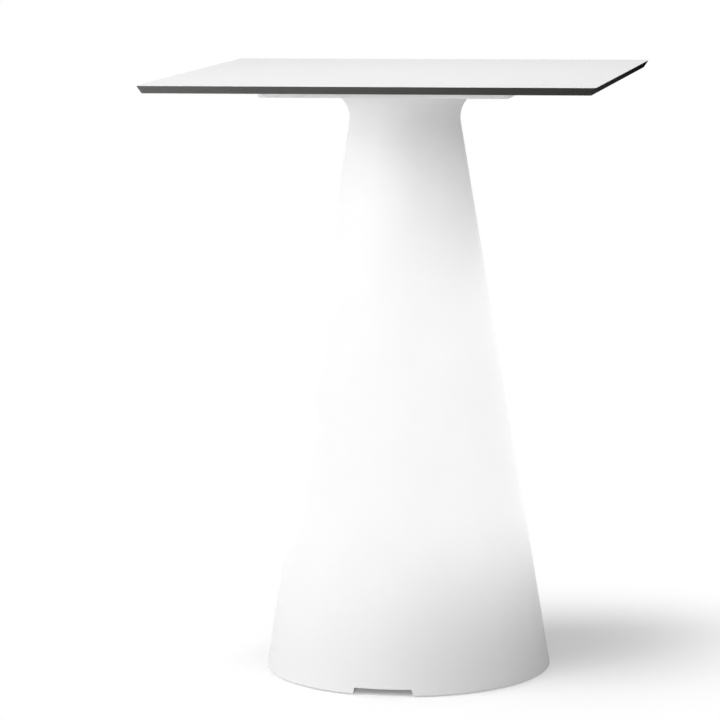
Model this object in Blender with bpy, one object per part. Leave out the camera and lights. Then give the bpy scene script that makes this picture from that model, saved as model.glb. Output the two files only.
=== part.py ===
"""Light-up LED table, bar height: a square laminate top on a hollow conical base that is lit from inside.

Metres, +Z up. The origin is the centre of the footprint, at the floor. The cable notch is at the front, -Y.
"""

import math

import bmesh
import bpy
from mathutils import Matrix, Vector

# Whole table
TABLE_HEIGHT = 1.100
SEAT = 0.0003  # gap between pieces that rest on each other
OVERRUN = 0.004  # how far a cutter runs past what it cuts
WELD = 0.000001  # points closer than this are one point
SHARP_ANGLE = 35  # degrees; a bend beyond this is a sharp edge

# Tabletop
TOP_SIDE = 0.800
TOP_THICKNESS = 0.014
TOP_CORNER_RADIUS = 0.010
UNDERCUT = 0.009  # how far the edge slants inwards by the underside
UNDERCUT_CORNER_RADIUS = 0.002
FACE_THICKNESS = 0.0008
BACKER_THICKNESS = 0.0008
BACKER_SETBACK = 0.001  # from the foot of the slanted edge

# Shell: a cone with a flat square head above it and a foot ring below
SHELL_WALL = 0.006
BASE_RADIUS = 0.2627  # at the rim
CONE_TOP_RADIUS = 0.0921  # the straight cone run on to the head's underside
NECK_FILLET = 0.050
FILLET_SINK = 0.0003  # how deep the fillet's end runs into the head
RIM_HEIGHT = 0.002  # the rim stands clear of the floor on the feet
RIM_EDGE_RADIUS = 0.003
FOOT_RING_WIDTH = 0.026
FLOOR_LEDGE = 0.0637  # from the disc's edge in to the opening of the shell's floor
HEAD_SIDE = 0.450
HEAD_THICKNESS = 0.018
HEAD_CORNER_RADIUS = 0.012
HEAD_EDGE_RADIUS = 0.003
NOTCH_TOP_WIDTH = 0.104
NOTCH_BOTTOM_WIDTH = 0.112
NOTCH_HEIGHT = 0.0125

# Screw cups moulded up into the head, and the flanged screws through them into the top
CUP_SPREAD = 0.180  # from the table's middle planes to a cup
CUP_RADIUS = 0.016
CUP_DRAFT = 0.0015
CUP_DEPTH = 0.010
TOP_SCREW_RADIUS = 0.003
TOP_SCREW_HEAD_RADIUS = 0.0055
TOP_SCREW_HEAD_HEIGHT = 0.0055
TOP_SCREW_FLANGE_RADIUS = 0.009
TOP_SCREW_FLANGE_THICKNESS = 0.0015
TOP_SCREW_ENGAGEMENT = 0.008

# Ballast disc, its screws and the bosses that they go into
DISC_HEIGHT = 0.040  # underside above the floor
DISC_THICKNESS = 0.012
DISC_CLEARANCE = 0.003  # to the foot ring round it
DISC_EDGE_BEVEL = 0.001
BOSS_INSET = 0.0337  # from the disc's edge in to a boss's axis
BOSS_RADIUS = 0.009
BOSS_HEIGHT = 0.010
BALLAST_SCREW_RADIUS = 0.003
BALLAST_SCREW_HEAD_RADIUS = 0.006
BALLAST_SCREW_HEAD_HEIGHT = 0.0036
BALLAST_SCREW_ENGAGEMENT = 0.012

# Levelling feet
FOOT_INSET = 0.0197  # from the disc's edge in to a foot's axis
PAD_RADIUS = 0.016
PAD_HEIGHT = 0.0115
PAD_SHOULDER = 0.005  # how far the pad's top is narrower than its foot
PAD_EDGE = 0.0015
PAD_SOCKET_DEPTH = 0.0065
STUD_NECK_RADIUS = 0.004
STUD_THREAD_RADIUS = 0.005
STUD_HEX_RADIUS = 0.0081
BUSH_RADIUS = 0.0105
BUSH_SPIGOT_RADIUS = 0.0078
BUSH_DROP = 0.012  # how far the bush stands below the disc
BUSH_FIT = 0.0003
THREAD_SHORTFALL = 0.001  # the stud stops this far below the top of the disc

# Light housing: a drum that hangs in the disc's opening by its flange
HOUSING_RADIUS = 0.072
HOUSING_WALL = 0.003
HOUSING_CLEARANCE = 0.0025
HOUSING_BOTTOM = 0.010
FLANGE_WIDTH = 0.022
FLANGE_THICKNESS = 0.004
GASKET_START = 0.0045  # from the drum's outer wall to the gasket groove
GASKET_WIDTH = 0.0045
GASKET_DEPTH = 0.0022
HOUSING_SCREW_INSET = 0.007  # from the flange's edge
HOUSING_SCREW_RADIUS = 0.0025
HOUSING_SCREW_HEAD_RADIUS = 0.0045
HOUSING_SCREW_HEAD_HEIGHT = 0.003
HOUSING_SCREW_GRIP = 0.009
ROOF_THICKNESS = 0.004
SPIGOT_HEIGHT = 0.010
SPIGOT_WALL = 0.003
TOWER_RADIUS = 0.0058
TOWER_INSET = 0.005  # from the drum's inner wall to a tower's axis
PILOT_DEPTH = 0.012

# Service cover under the housing, and the board that stands on it
COVER_RECESS = 0.0005
COVER_THICKNESS = 0.003
COVER_CLEARANCE = 0.0005
COVER_SCREW_RADIUS = 0.0015
COVER_SCREW_HEAD_RADIUS = 0.0028
COVER_SCREW_HEAD_HEIGHT = 0.002
STANDOFF_RADIUS = 0.003
STANDOFF_HEIGHT = 0.0092
STANDOFF_INSET = 0.010  # from the board's edge in to a standoff's axis
STAKE_RADIUS = 0.0015
STAKE_HEAD_RADIUS = 0.0026
STAKE_HEAD_HEIGHT = 0.0012
BOARD_INSET = 0.019  # from the drum's inner wall in to the board's edge
BOARD_THICKNESS = 0.0016
CONNECTOR_WIDTH = 0.008
CONNECTOR_DEPTH = 0.006
CONNECTOR_HEIGHT = 0.006
CONNECTOR_SPREAD = 0.010
CONNECTOR_SETBACK = 0.007
CHARGE_CONNECTOR_INSET = 0.010  # from the board's edge in to the connector's middle
SWITCH_SIDE = 0.006
SWITCH_HEIGHT = 0.0035

# Power button and indicator in the cover
BUTTON_RADIUS = 0.0085
BUTTON_COLLAR_RADIUS = 0.010
BUTTON_COLLAR_THICKNESS = 0.0012
BUTTON_STEM_RADIUS = 0.003
BUTTON_PROUD = 0.001
BUTTON_TRAVEL = 0.0015
INDICATOR_PLACE = 0.020
INDICATOR_RADIUS = 0.002
INDICATOR_COLLAR_RADIUS = 0.003
INDICATOR_COLLAR_THICKNESS = 0.001

# Charging inlet, its mounting pad and its hinged lid
PAD_PROUD = 0.0025  # the pad's flat face in front of the drum
PAD_LEFT = 0.0115
PAD_HALF_HEIGHT = 0.0108
PAD_MARGIN = 0.0004
PAD_CORNER_RADIUS = 0.002
PAD_ROOT_SHARE = 0.85
INLET_RADIUS = 0.006
INLET_LENGTH = 0.021
INLET_BEZEL_RADIUS = 0.0085
INLET_BEZEL_THICKNESS = 0.0022
INLET_BORE_RADIUS = 0.0032
INLET_BORE_DEPTH = 0.013
INLET_PIN_RADIUS = 0.0011
INLET_PIN_RECESS = 0.0015
NUT_RADIUS = 0.009
NUT_THICKNESS = 0.004
LID_RADIUS = 0.0095
LID_THICKNESS = 0.002
LID_HINGE_OFFSET = 0.0125
LID_ARM_HALF_HEIGHT = 0.0028
KNUCKLE_RADIUS = 0.0016
EAR_HEIGHT = 0.003
HINGE_PIN_RADIUS = 0.0006
HINGE_PIN_PROUD = 0.0006

# Battery pack and the strap that holds it under the roof
PACK_WIDTH = 0.056
PACK_DEPTH = 0.0375
PACK_HEIGHT = 0.068
PACK_CORNER_RADIUS = 0.009
PACK_EDGE = 0.0015
PACK_SETBACK = 0.008  # its front face behind the lead to the column
STRAP_WIDTH = 0.020
STRAP_THICKNESS = 0.0014
STRAP_CLEARANCE = 0.005  # over the connectors
STRAP_FOOT = 0.012
STRAP_SCREW_RADIUS = 0.0015
STRAP_SCREW_HEAD_RADIUS = 0.0028
STRAP_SCREW_HEAD_HEIGHT = 0.002
STRAP_SCREW_GRIP = 0.0025

# LED column
LED_LOW = 0.240
LED_HIGH = 0.760
POST_SIDE = 0.026
POST_GROOVE = 0.004
POST_GROOVE_SHARE = 0.5  # how much of its depth a groove's floor steps back
POST_BORE_RADIUS = 0.0045
POST_CHANNEL_RADIUS = 0.0018
POST_CHANNEL_SPREAD = 0.0085
POST_END = 0.008
POST_SCREW_RADIUS = 0.0015
POST_SCREW_HEAD_RADIUS = 0.003
POST_SCREW_HEAD_HEIGHT = 0.0022
POST_SCREW_GRIP = 0.012
LED_BOARD_WIDTH = 0.016
LED_BOARD_THICKNESS = 0.0012
CHIP_SIDE = 0.005
CHIP_THICKNESS = 0.0015
CHIP_COUNT = 13
LINK_RADIUS = 0.0158
LINK_THICKNESS = 0.0012
TUBE_RADIUS = 0.035
TUBE_WALL = 0.0025
TUBE_FIT = 0.0007
SEAL_RADIUS = 0.0009
SEAL_HEIGHT = 0.005  # its middle above the roof
CAP_THICKNESS = 0.0035
CAP_PLUG_DEPTH = 0.010
CAP_PEG_RADIUS = 0.0015
CAP_PEG_DEPTH = 0.010  # into the post

# Leads inside the housing
LEAD_RADIUS = 0.0012
LEAD_BEND = 0.010
LEAD_POINT_SPACING = 0.006
GROMMET_RADIUS = 0.0036
GROMMET_LIP = 0.001

# Levels and radii that follow from the sizes above
TOP_UNDERSIDE = TABLE_HEIGHT - TOP_THICKNESS
CORE_TOP = TABLE_HEIGHT - FACE_THICKNESS - SEAT
CORE_BOTTOM = TOP_UNDERSIDE + BACKER_THICKNESS + SEAT
HEAD_TOP = TOP_UNDERSIDE - SEAT
HEAD_UNDERSIDE = HEAD_TOP - HEAD_THICKNESS
HEAD_MIDDLE = (HEAD_TOP + HEAD_UNDERSIDE) / 2
CUP_CEILING = HEAD_UNDERSIDE + CUP_DEPTH
CONE_SLOPE = (BASE_RADIUS - CONE_TOP_RADIUS) / (HEAD_UNDERSIDE - RIM_HEIGHT)
CONE_ANGLE = math.atan(CONE_SLOPE)
FOOT_RING_RADIUS = BASE_RADIUS - FOOT_RING_WIDTH
DISC_TOP = DISC_HEIGHT + DISC_THICKNESS
SHELL_FLOOR = DISC_TOP + SEAT
DISC_RADIUS = FOOT_RING_RADIUS - DISC_CLEARANCE
FLOOR_OPENING_RADIUS = DISC_RADIUS - FLOOR_LEDGE
BOSS_CIRCLE_RADIUS = DISC_RADIUS - BOSS_INSET
FOOT_CIRCLE_RADIUS = DISC_RADIUS - FOOT_INSET
DISC_HOLE_RADIUS = HOUSING_RADIUS + HOUSING_CLEARANCE
DRUM_INNER_RADIUS = HOUSING_RADIUS - HOUSING_WALL
FLANGE_TOP = DISC_HEIGHT - SEAT
FLANGE_BOTTOM = FLANGE_TOP - FLANGE_THICKNESS
FLANGE_RADIUS = HOUSING_RADIUS + FLANGE_WIDTH
HOUSING_SCREW_CIRCLE = FLANGE_RADIUS - HOUSING_SCREW_INSET
TOWER_CIRCLE = DRUM_INNER_RADIUS - TOWER_INSET
BOARD_RADIUS = DRUM_INNER_RADIUS - BOARD_INSET
STANDOFF_CIRCLE_RADIUS = BOARD_RADIUS - STANDOFF_INSET
CHARGE_CONNECTOR_SETBACK = BOARD_RADIUS - CHARGE_CONNECTOR_INSET
COVER_LOW = HOUSING_BOTTOM + COVER_RECESS
COVER_HIGH = COVER_LOW + COVER_THICKNESS
STANDOFF_TOP = COVER_HIGH + STANDOFF_HEIGHT
BOARD_LOW = STANDOFF_TOP + SEAT
BOARD_HIGH = BOARD_LOW + BOARD_THICKNESS
CONNECTOR_TOP = BOARD_HIGH + CONNECTOR_HEIGHT
SWITCH_LOW = BOARD_LOW - SWITCH_HEIGHT
STRAP_LOW = CONNECTOR_TOP + STRAP_CLEARANCE
PACK_LOW = STRAP_LOW + STRAP_THICKNESS + SEAT
PACK_HIGH = PACK_LOW + PACK_HEIGHT
PACK_MIDDLE = PACK_SETBACK + PACK_DEPTH / 2
ROOF_LOW = PACK_HIGH + SEAT
ROOF_HIGH = ROOF_LOW + ROOF_THICKNESS
POST_LOW = ROOF_HIGH + SEAT
POST_HIGH = LED_HIGH + POST_END
LINK_LOW = POST_HIGH + SEAT
LINK_HIGH = LINK_LOW + LINK_THICKNESS
CAP_LOW = LINK_HIGH + SEAT
TUBE_INNER_RADIUS = TUBE_RADIUS - TUBE_WALL
TUBE_TOP = CAP_LOW + CAP_PLUG_DEPTH - SEAT
SPIGOT_RADIUS = TUBE_INNER_RADIUS - TUBE_FIT
INLET_HEIGHT = (HOUSING_BOTTOM + FLANGE_BOTTOM) / 2
PAD_FACE = HOUSING_RADIUS + PAD_PROUD
BEZEL_BACK = PAD_FACE + SEAT
BEZEL_FRONT = BEZEL_BACK + INLET_BEZEL_THICKNESS
INLET_BACK = BEZEL_FRONT - INLET_LENGTH
LID_BACK = BEZEL_FRONT + SEAT
HINGE_REACH = LID_BACK + LID_THICKNESS / 2

# Facets round a full turn
FINE_FACETS = 64
CAVITY_FACETS = 32
DRUM_FACETS = 32
MIDDLE_FACETS = 20
SMALL_FACETS = 12
SCREW_FACETS = 8
TINY_FACETS = 8
SEAL_FACETS = 6
HEX_SIDES = 6
ARC_STEPS = 8
EDGE_STEPS = 2

# Where repeated pieces stand, in degrees round the table's axis; 270 is the front
CORNERS = {"front_left": 225, "front_right": 315, "back_right": 45, "back_left": 135}
SIDES = {"right": 0, "back": 90, "left": 180, "front": 270}
THIRDS = {"back": 90, "front_left": 210, "front_right": 330}

# The same as places: (x, y) by side
CUP_PLACES = {
    "front_left": (-CUP_SPREAD, -CUP_SPREAD),
    "front_right": (CUP_SPREAD, -CUP_SPREAD),
    "back_right": (CUP_SPREAD, CUP_SPREAD),
    "back_left": (-CUP_SPREAD, CUP_SPREAD),
}

# Turns a form built upright so that its own +Z points to the front, with its +Y up
FRONT = Matrix.Rotation(math.radians(90), 4, "X")


def arc(centre, radius, start, end, steps):
    """Points along an arc, from one angle in degrees to another."""
    points = []
    for step in range(steps + 1):
        angle = math.radians(start + (end - start) * step / steps)
        points.append((centre[0] + radius * math.cos(angle), centre[1] + radius * math.sin(angle)))
    return points


def circle(radius, count):
    return arc((0, 0), radius, 0, 360, count)[:-1]


def rectangle(width, depth):
    return [(x * width / 2, y * depth / 2) for x, y in ((1, 1), (-1, 1), (-1, -1), (1, -1))]


def rounded_outline(width, depth, radius, steps):
    """A rectangle round the origin with rounded corners, anticlockwise."""
    points = []
    for turn, (side_x, side_y) in enumerate(((1, 1), (-1, 1), (-1, -1), (1, -1))):
        centre = (side_x * (width / 2 - radius), side_y * (depth / 2 - radius))
        points += arc(centre, radius, 90 * turn, 90 * turn + 90, steps)
    return points


def faced_outwards(form):
    bmesh.ops.recalc_face_normals(form, faces=form.faces)
    if form.calc_volume(signed=True) < 0:
        bmesh.ops.reverse_faces(form, faces=form.faces)
    return form


def turned(profile, facets, closed=False):
    """A form turned about Z from (radius, height) points that run down its outer side."""
    form = bmesh.new()
    corners = [form.verts.new((radius, 0, height)) for radius, height in profile]
    pairs = list(zip(corners, corners[1:]))
    if closed:
        pairs.append((corners[-1], corners[0]))
    edges = [form.edges.new(pair) for pair in pairs]
    bmesh.ops.spin(
        form,
        geom=corners + edges,
        cent=(0, 0, 0),
        axis=(0, 0, 1),
        angle=math.tau,
        steps=facets,
        use_merge=True,
    )
    bmesh.ops.remove_doubles(form, verts=form.verts, dist=WELD)
    return faced_outwards(form)


def lofted(sections):
    """A closed form through outlines of one point count, given as (outline, height) from one end."""
    form = bmesh.new()
    rings = []
    for outline, height in sections:
        corners = [form.verts.new((x, y, height)) for x, y in outline]
        rings.append([form.edges.new(pair) for pair in zip(corners, corners[1:] + corners[:1])])
        if len(rings) in (1, len(sections)):
            form.faces.new(corners)
    for ring, following in zip(rings, rings[1:]):
        bmesh.ops.bridge_loops(form, edges=ring + following)
    return faced_outwards(form)


def extruded(outline, low, high):
    return lofted([(outline, low), (outline, high)])


def cylinder(radius, low, high, facets):
    return extruded(circle(radius, facets), low, high)


def ring(inner, outer, low, high, facets):
    return turned([(inner, high), (outer, high), (outer, low), (inner, low)], facets, closed=True)


def block(width, depth, low, high):
    return extruded(rectangle(width, depth), low, high)


def moved(form, x=0, y=0, z=0):
    bmesh.ops.translate(form, verts=form.verts, vec=(x, y, z))
    return form


def turned_to(form, matrix):
    bmesh.ops.transform(form, matrix=matrix, verts=form.verts)
    return form


def on_circle(radius, angles):
    """Places by side on a circle round the table's axis."""
    return {
        side: (radius * math.cos(math.radians(angle)), radius * math.sin(math.radians(angle)))
        for side, angle in angles.items()
    }


def at_places(make, places):
    """One form from make() at each place."""
    return [moved(make(), *place) for place in places.values()]


def pieces(name, make, places, finish):
    """One piece at each place, named by its side."""
    for side, place in places.items():
        piece(f"{name}_{side}", [moved(make(), *place)], finish)


def screw(head_radius, head_height, shank_radius, shank_length, bearing):
    """A screw that points up, with its head's bearing face at the given height."""
    profile = [
        (0, bearing + shank_length),
        (shank_radius, bearing + shank_length),
        (shank_radius, bearing),
        (head_radius, bearing),
        (head_radius, bearing - head_height),
        (0, bearing - head_height),
    ]
    return turned(profile, SCREW_FACETS)


def material(name, colour, roughness, metallic=0.0, glow=0.0, transmission=0.0):
    made = bpy.data.materials.new(name)
    made.use_nodes = True
    shader = made.node_tree.nodes["Principled BSDF"]
    shader.inputs["Base Color"].default_value = (*colour, 1.0)
    shader.inputs["Roughness"].default_value = roughness
    shader.inputs["Metallic"].default_value = metallic
    shader.inputs["Transmission Weight"].default_value = transmission
    shader.inputs["Emission Color"].default_value = (*colour, 1.0)
    shader.inputs["Emission Strength"].default_value = glow
    return made


def mesh_of(name, forms, origin):
    """One mesh from separate forms, measured from the given origin."""
    whole = bmesh.new()
    for form in forms:
        scratch = bpy.data.meshes.new(name)
        form.to_mesh(scratch)
        form.free()
        whole.from_mesh(scratch)
        bpy.data.meshes.remove(scratch)
    bmesh.ops.translate(whole, verts=whole.verts, vec=-Vector(origin))
    mesh = bpy.data.meshes.new(name)
    whole.to_mesh(mesh)
    whole.free()
    mesh.shade_smooth()
    mesh.set_sharp_from_angle(angle=math.radians(SHARP_ANGLE))
    return mesh


def piece(name, forms, finish, origin=(0, 0, 0)):
    """One named object of separate or single forms, with its origin on its joint's axis."""
    made = bpy.data.objects.new(name, mesh_of(name, forms, origin))
    made.location = origin
    made.data.materials.append(finish)
    bpy.context.scene.collection.objects.link(made)
    return made


def tool(name, forms):
    """A form that only cuts or joins."""
    made = bpy.data.objects.new(name, mesh_of(name, forms, (0, 0, 0)))
    made.hide_render = True
    made.display_type = "WIRE"
    bpy.context.scene.collection.objects.link(made)
    return made


def combine(target, other, operation):
    step = target.modifiers.new(other.name, "BOOLEAN")
    step.operation = operation
    step.solver = "EXACT"
    step.object = other


def straight(*points):
    steps = [end - start for start, end in zip(points, points[1:])]
    return all(step.angle(steps[0]) < WELD for step in steps)


def lead(name, start, leaving, via, end, arriving, finish):
    """A round lead that leaves and arrives straight, on a smooth curve through its route between."""
    start, leaving, end, arriving = (Vector(value) for value in (start, leaving, end, arriving))
    thick = 2 * LEAD_RADIUS
    route = [start - leaving * thick, start, start + leaving * thick, start + leaving * thick * 2]
    route += [Vector(point) for point in via]
    route += [end - arriving * thick * 2, end - arriving * thick, end, end + arriving * thick]
    path = []
    for before, near, far, after in zip(route, route[1:], route[2:], route[3:]):
        count = math.ceil((far - near).length / LEAD_POINT_SPACING)
        if straight(before, near, far, after):
            count = 1
        for step in range(count):
            t = step / count
            pull = (far - before) * (1 - t) ** 2 - (after - near) * (1 - t) * t
            path.append(near + (far - near) * t * t * (3 - 2 * t) + pull * t / 2)
    path.append(end)
    curve = bpy.data.curves.new(name, "CURVE")
    curve.dimensions = "3D"
    curve.bevel_depth = LEAD_RADIUS
    curve.bevel_resolution = 2
    curve.use_fill_caps = True
    spline = curve.splines.new("POLY")
    spline.points.add(len(path) - 1)
    for place, point in zip(spline.points, path):
        place.co = (*point, 1)
    curve.materials.append(finish)
    made = bpy.data.objects.new(name, curve)
    bpy.context.scene.collection.objects.link(made)
    return made


def build_tabletop(finishes):
    """The decor face, the dark core with its slanted edge, and the balance sheet under it."""
    wide = rounded_outline(TOP_SIDE, TOP_SIDE, TOP_CORNER_RADIUS, EDGE_STEPS + 1)
    low_side = TOP_SIDE - 2 * UNDERCUT
    narrow = rounded_outline(low_side, low_side, UNDERCUT_CORNER_RADIUS, EDGE_STEPS + 1)
    piece("tabletop_face", [extruded(wide, TABLE_HEIGHT - FACE_THICKNESS, TABLE_HEIGHT)], finishes["decor"])

    core = piece("tabletop_core", [lofted([(narrow, CORE_BOTTOM), (wide, CORE_TOP)])], finishes["core"])

    def thread():
        high = CORE_BOTTOM + TOP_SCREW_ENGAGEMENT + SEAT
        return cylinder(TOP_SCREW_RADIUS + SEAT, CORE_BOTTOM - OVERRUN, high, SCREW_FACETS)

    combine(core, tool("tapped_holes", at_places(thread, CUP_PLACES)), "DIFFERENCE")

    back_side = low_side - 2 * BACKER_SETBACK
    back = rounded_outline(back_side, back_side, UNDERCUT_CORNER_RADIUS, EDGE_STEPS + 1)
    backer = piece(
        "tabletop_backer",
        [extruded(back, TOP_UNDERSIDE, TOP_UNDERSIDE + BACKER_THICKNESS)],
        finishes["decor"],
    )

    def hole():
        low = TOP_UNDERSIDE - OVERRUN
        high = TOP_UNDERSIDE + BACKER_THICKNESS + OVERRUN
        return cylinder(TOP_SCREW_RADIUS + SEAT, low, high, SCREW_FACETS)

    combine(backer, tool("backer_holes", at_places(hole, CUP_PLACES)), "DIFFERENCE")


def build_top_screws(finishes):
    """The flanged screws that come up through the head's cups into the core."""
    bearing = CUP_CEILING - SEAT
    flange_low = bearing - TOP_SCREW_FLANGE_THICKNESS
    profile = [
        (0, CORE_BOTTOM + TOP_SCREW_ENGAGEMENT),
        (TOP_SCREW_RADIUS, CORE_BOTTOM + TOP_SCREW_ENGAGEMENT),
        (TOP_SCREW_RADIUS, bearing),
        (TOP_SCREW_FLANGE_RADIUS, bearing),
        (TOP_SCREW_FLANGE_RADIUS, flange_low),
        (TOP_SCREW_HEAD_RADIUS, flange_low),
        (TOP_SCREW_HEAD_RADIUS, bearing - TOP_SCREW_HEAD_HEIGHT),
        (0, bearing - TOP_SCREW_HEAD_HEIGHT),
    ]

    def fixing():
        return turned(profile, SCREW_FACETS)

    pieces("top_screw", fixing, CUP_PLACES, finishes["steel"])


def cone_radius(height):
    return CONE_TOP_RADIUS + CONE_SLOPE * (HEAD_UNDERSIDE - height)


def bell_profile(inset):
    """The shell's outside at inset zero, or its cavity at the wall's thickness, down to its floor."""
    fillet_height = HEAD_UNDERSIDE + FILLET_SINK - NECK_FILLET
    touch_height = fillet_height - NECK_FILLET * math.sin(CONE_ANGLE)
    fillet_centre = (cone_radius(touch_height) + NECK_FILLET * math.cos(CONE_ANGLE), fillet_height)
    tilt = math.degrees(CONE_ANGLE)
    points = [(0, HEAD_MIDDLE), (fillet_centre[0], HEAD_MIDDLE)]
    points += arc(fillet_centre, NECK_FILLET + inset, 90, 180 + tilt, ARC_STEPS)
    ring_inner = FOOT_RING_RADIUS + inset
    if inset:
        low = RIM_HEIGHT + inset
        points += [(cone_radius(low) - inset / math.cos(CONE_ANGLE), low), (ring_inner, low)]
    else:
        low = RIM_HEIGHT + RIM_EDGE_RADIUS
        outer_centre = (cone_radius(low) - RIM_EDGE_RADIUS / math.cos(CONE_ANGLE), low)
        inner_centre = (ring_inner + RIM_EDGE_RADIUS, low)
        points += arc(outer_centre, RIM_EDGE_RADIUS, tilt, -90, EDGE_STEPS)
        points += arc(inner_centre, RIM_EDGE_RADIUS, -90, -180, EDGE_STEPS)
    return points + [(ring_inner, SHELL_FLOOR + inset), (0, SHELL_FLOOR + inset)]


def head_form(inset):
    """The square head's outside at inset zero, or its cavity at the wall's thickness."""
    side = HEAD_SIDE - 2 * inset
    corner = HEAD_CORNER_RADIUS - inset
    low, high = HEAD_UNDERSIDE + inset, HEAD_TOP - inset
    if inset:
        return extruded(rounded_outline(side, side, corner, EDGE_STEPS), low, high)
    edge = HEAD_EDGE_RADIUS
    rounding = [(edge - edge * math.cos(a), edge - edge * math.sin(a)) for a in quarter_turns()]
    sections = [(inward, low + rise) for inward, rise in reversed(rounding)]
    sections += [(inward, high - rise) for inward, rise in rounding]
    return lofted(
        [
            (rounded_outline(side - 2 * inward, side - 2 * inward, corner - inward, EDGE_STEPS), height)
            for inward, height in sections
        ]
    )


def quarter_turns():
    return [math.radians(90) * step / EDGE_STEPS for step in range(EDGE_STEPS + 1)]


def notch_form(margin):
    """The cable notch at margin zero, or with the wall's thickness round it the moulded saddle over it."""
    spread = (NOTCH_BOTTOM_WIDTH - NOTCH_TOP_WIDTH) / 2 / NOTCH_HEIGHT
    top, bottom = RIM_HEIGHT + NOTCH_HEIGHT + margin, RIM_HEIGHT - OVERRUN
    top_half = NOTCH_TOP_WIDTH / 2 + margin
    bottom_half = top_half + spread * (top - bottom)
    outline = [(-bottom_half, bottom), (bottom_half, bottom), (top_half, top), (-top_half, top)]
    near = math.sqrt(FOOT_RING_RADIUS**2 - bottom_half**2) - OVERRUN
    return turned_to(extruded(outline, near, BASE_RADIUS + OVERRUN), FRONT)


def build_shell(finishes):
    """The moulded shell: outside less cavity, with the cavity kept away from cups, bosses and notch."""
    shell = piece("base_shell", [turned(bell_profile(0), FINE_FACETS)], finishes["shell"])
    combine(shell, tool("head_outside", [head_form(0)]), "UNION")

    cavity = tool("cavity", [turned(bell_profile(SHELL_WALL), CAVITY_FACETS)])
    combine(cavity, tool("head_inside", [head_form(SHELL_WALL)]), "UNION")

    def cup_column():
        return cylinder(CUP_RADIUS + SHELL_WALL, HEAD_UNDERSIDE, HEAD_TOP, SMALL_FACETS)

    def boss():
        return cylinder(BOSS_RADIUS, SHELL_FLOOR, SHELL_FLOOR + SHELL_WALL + BOSS_HEIGHT, SMALL_FACETS)

    kept = [notch_form(SHELL_WALL)]
    kept += at_places(cup_column, CUP_PLACES)
    kept += at_places(boss, on_circle(BOSS_CIRCLE_RADIUS, SIDES))
    combine(cavity, tool("solid_places", kept), "DIFFERENCE")
    combine(shell, cavity, "DIFFERENCE")

    hole = TOP_SCREW_RADIUS + SEAT
    cup = [
        (0, HEAD_TOP + OVERRUN),
        (hole, HEAD_TOP + OVERRUN),
        (hole, CUP_CEILING),
        (CUP_RADIUS - CUP_DRAFT, CUP_CEILING),
        (CUP_RADIUS, HEAD_UNDERSIDE),
        (CUP_RADIUS, HEAD_UNDERSIDE - OVERRUN),
        (0, HEAD_UNDERSIDE - OVERRUN),
    ]

    def cup_form():
        return turned(cup, MIDDLE_FACETS)

    def boss_bore():
        high = SHELL_FLOOR + BALLAST_SCREW_ENGAGEMENT + SEAT
        return cylinder(BALLAST_SCREW_RADIUS + SEAT, SHELL_FLOOR - OVERRUN, high, SCREW_FACETS)

    floor_high = SHELL_FLOOR + SHELL_WALL + OVERRUN
    cut = [cylinder(FLOOR_OPENING_RADIUS, SHELL_FLOOR - OVERRUN, floor_high, CAVITY_FACETS)]
    cut += [notch_form(0)]
    cut += at_places(cup_form, CUP_PLACES)
    cut += at_places(boss_bore, on_circle(BOSS_CIRCLE_RADIUS, SIDES))
    combine(shell, tool("shell_openings", cut), "DIFFERENCE")


def build_ballast(finishes):
    """The steel disc and the screws that hold it up against the shell's floor."""
    bevel = DISC_EDGE_BEVEL
    section = [
        (DISC_HOLE_RADIUS, DISC_TOP),
        (DISC_RADIUS - bevel, DISC_TOP),
        (DISC_RADIUS, DISC_TOP - bevel),
        (DISC_RADIUS, DISC_HEIGHT + bevel),
        (DISC_RADIUS - bevel, DISC_HEIGHT),
        (DISC_HOLE_RADIUS, DISC_HEIGHT),
    ]
    disc = piece("ballast_disc", [turned(section, DRUM_FACETS, closed=True)], finishes["ballast"])
    low, high = DISC_HEIGHT - OVERRUN, DISC_TOP + OVERRUN

    def foot_hole():
        return cylinder(BUSH_SPIGOT_RADIUS + BUSH_FIT, low, high, SMALL_FACETS)

    def screw_hole():
        return cylinder(BALLAST_SCREW_RADIUS + SEAT, low, high, SCREW_FACETS)

    def housing_hole():
        return cylinder(HOUSING_SCREW_RADIUS + SEAT, low, high, SCREW_FACETS)

    holes = at_places(foot_hole, on_circle(FOOT_CIRCLE_RADIUS, CORNERS))
    holes += at_places(screw_hole, on_circle(BOSS_CIRCLE_RADIUS, SIDES))
    holes += at_places(housing_hole, on_circle(HOUSING_SCREW_CIRCLE, THIRDS))
    combine(disc, tool("disc_holes", holes), "DIFFERENCE")

    def fixing():
        bearing = DISC_HEIGHT - SEAT
        return screw(
            BALLAST_SCREW_HEAD_RADIUS,
            BALLAST_SCREW_HEAD_HEIGHT,
            BALLAST_SCREW_RADIUS,
            SHELL_FLOOR + BALLAST_SCREW_ENGAGEMENT - bearing,
            bearing,
        )

    pieces("ballast_screw", fixing, on_circle(BOSS_CIRCLE_RADIUS, SIDES), finishes["steel"])


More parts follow.
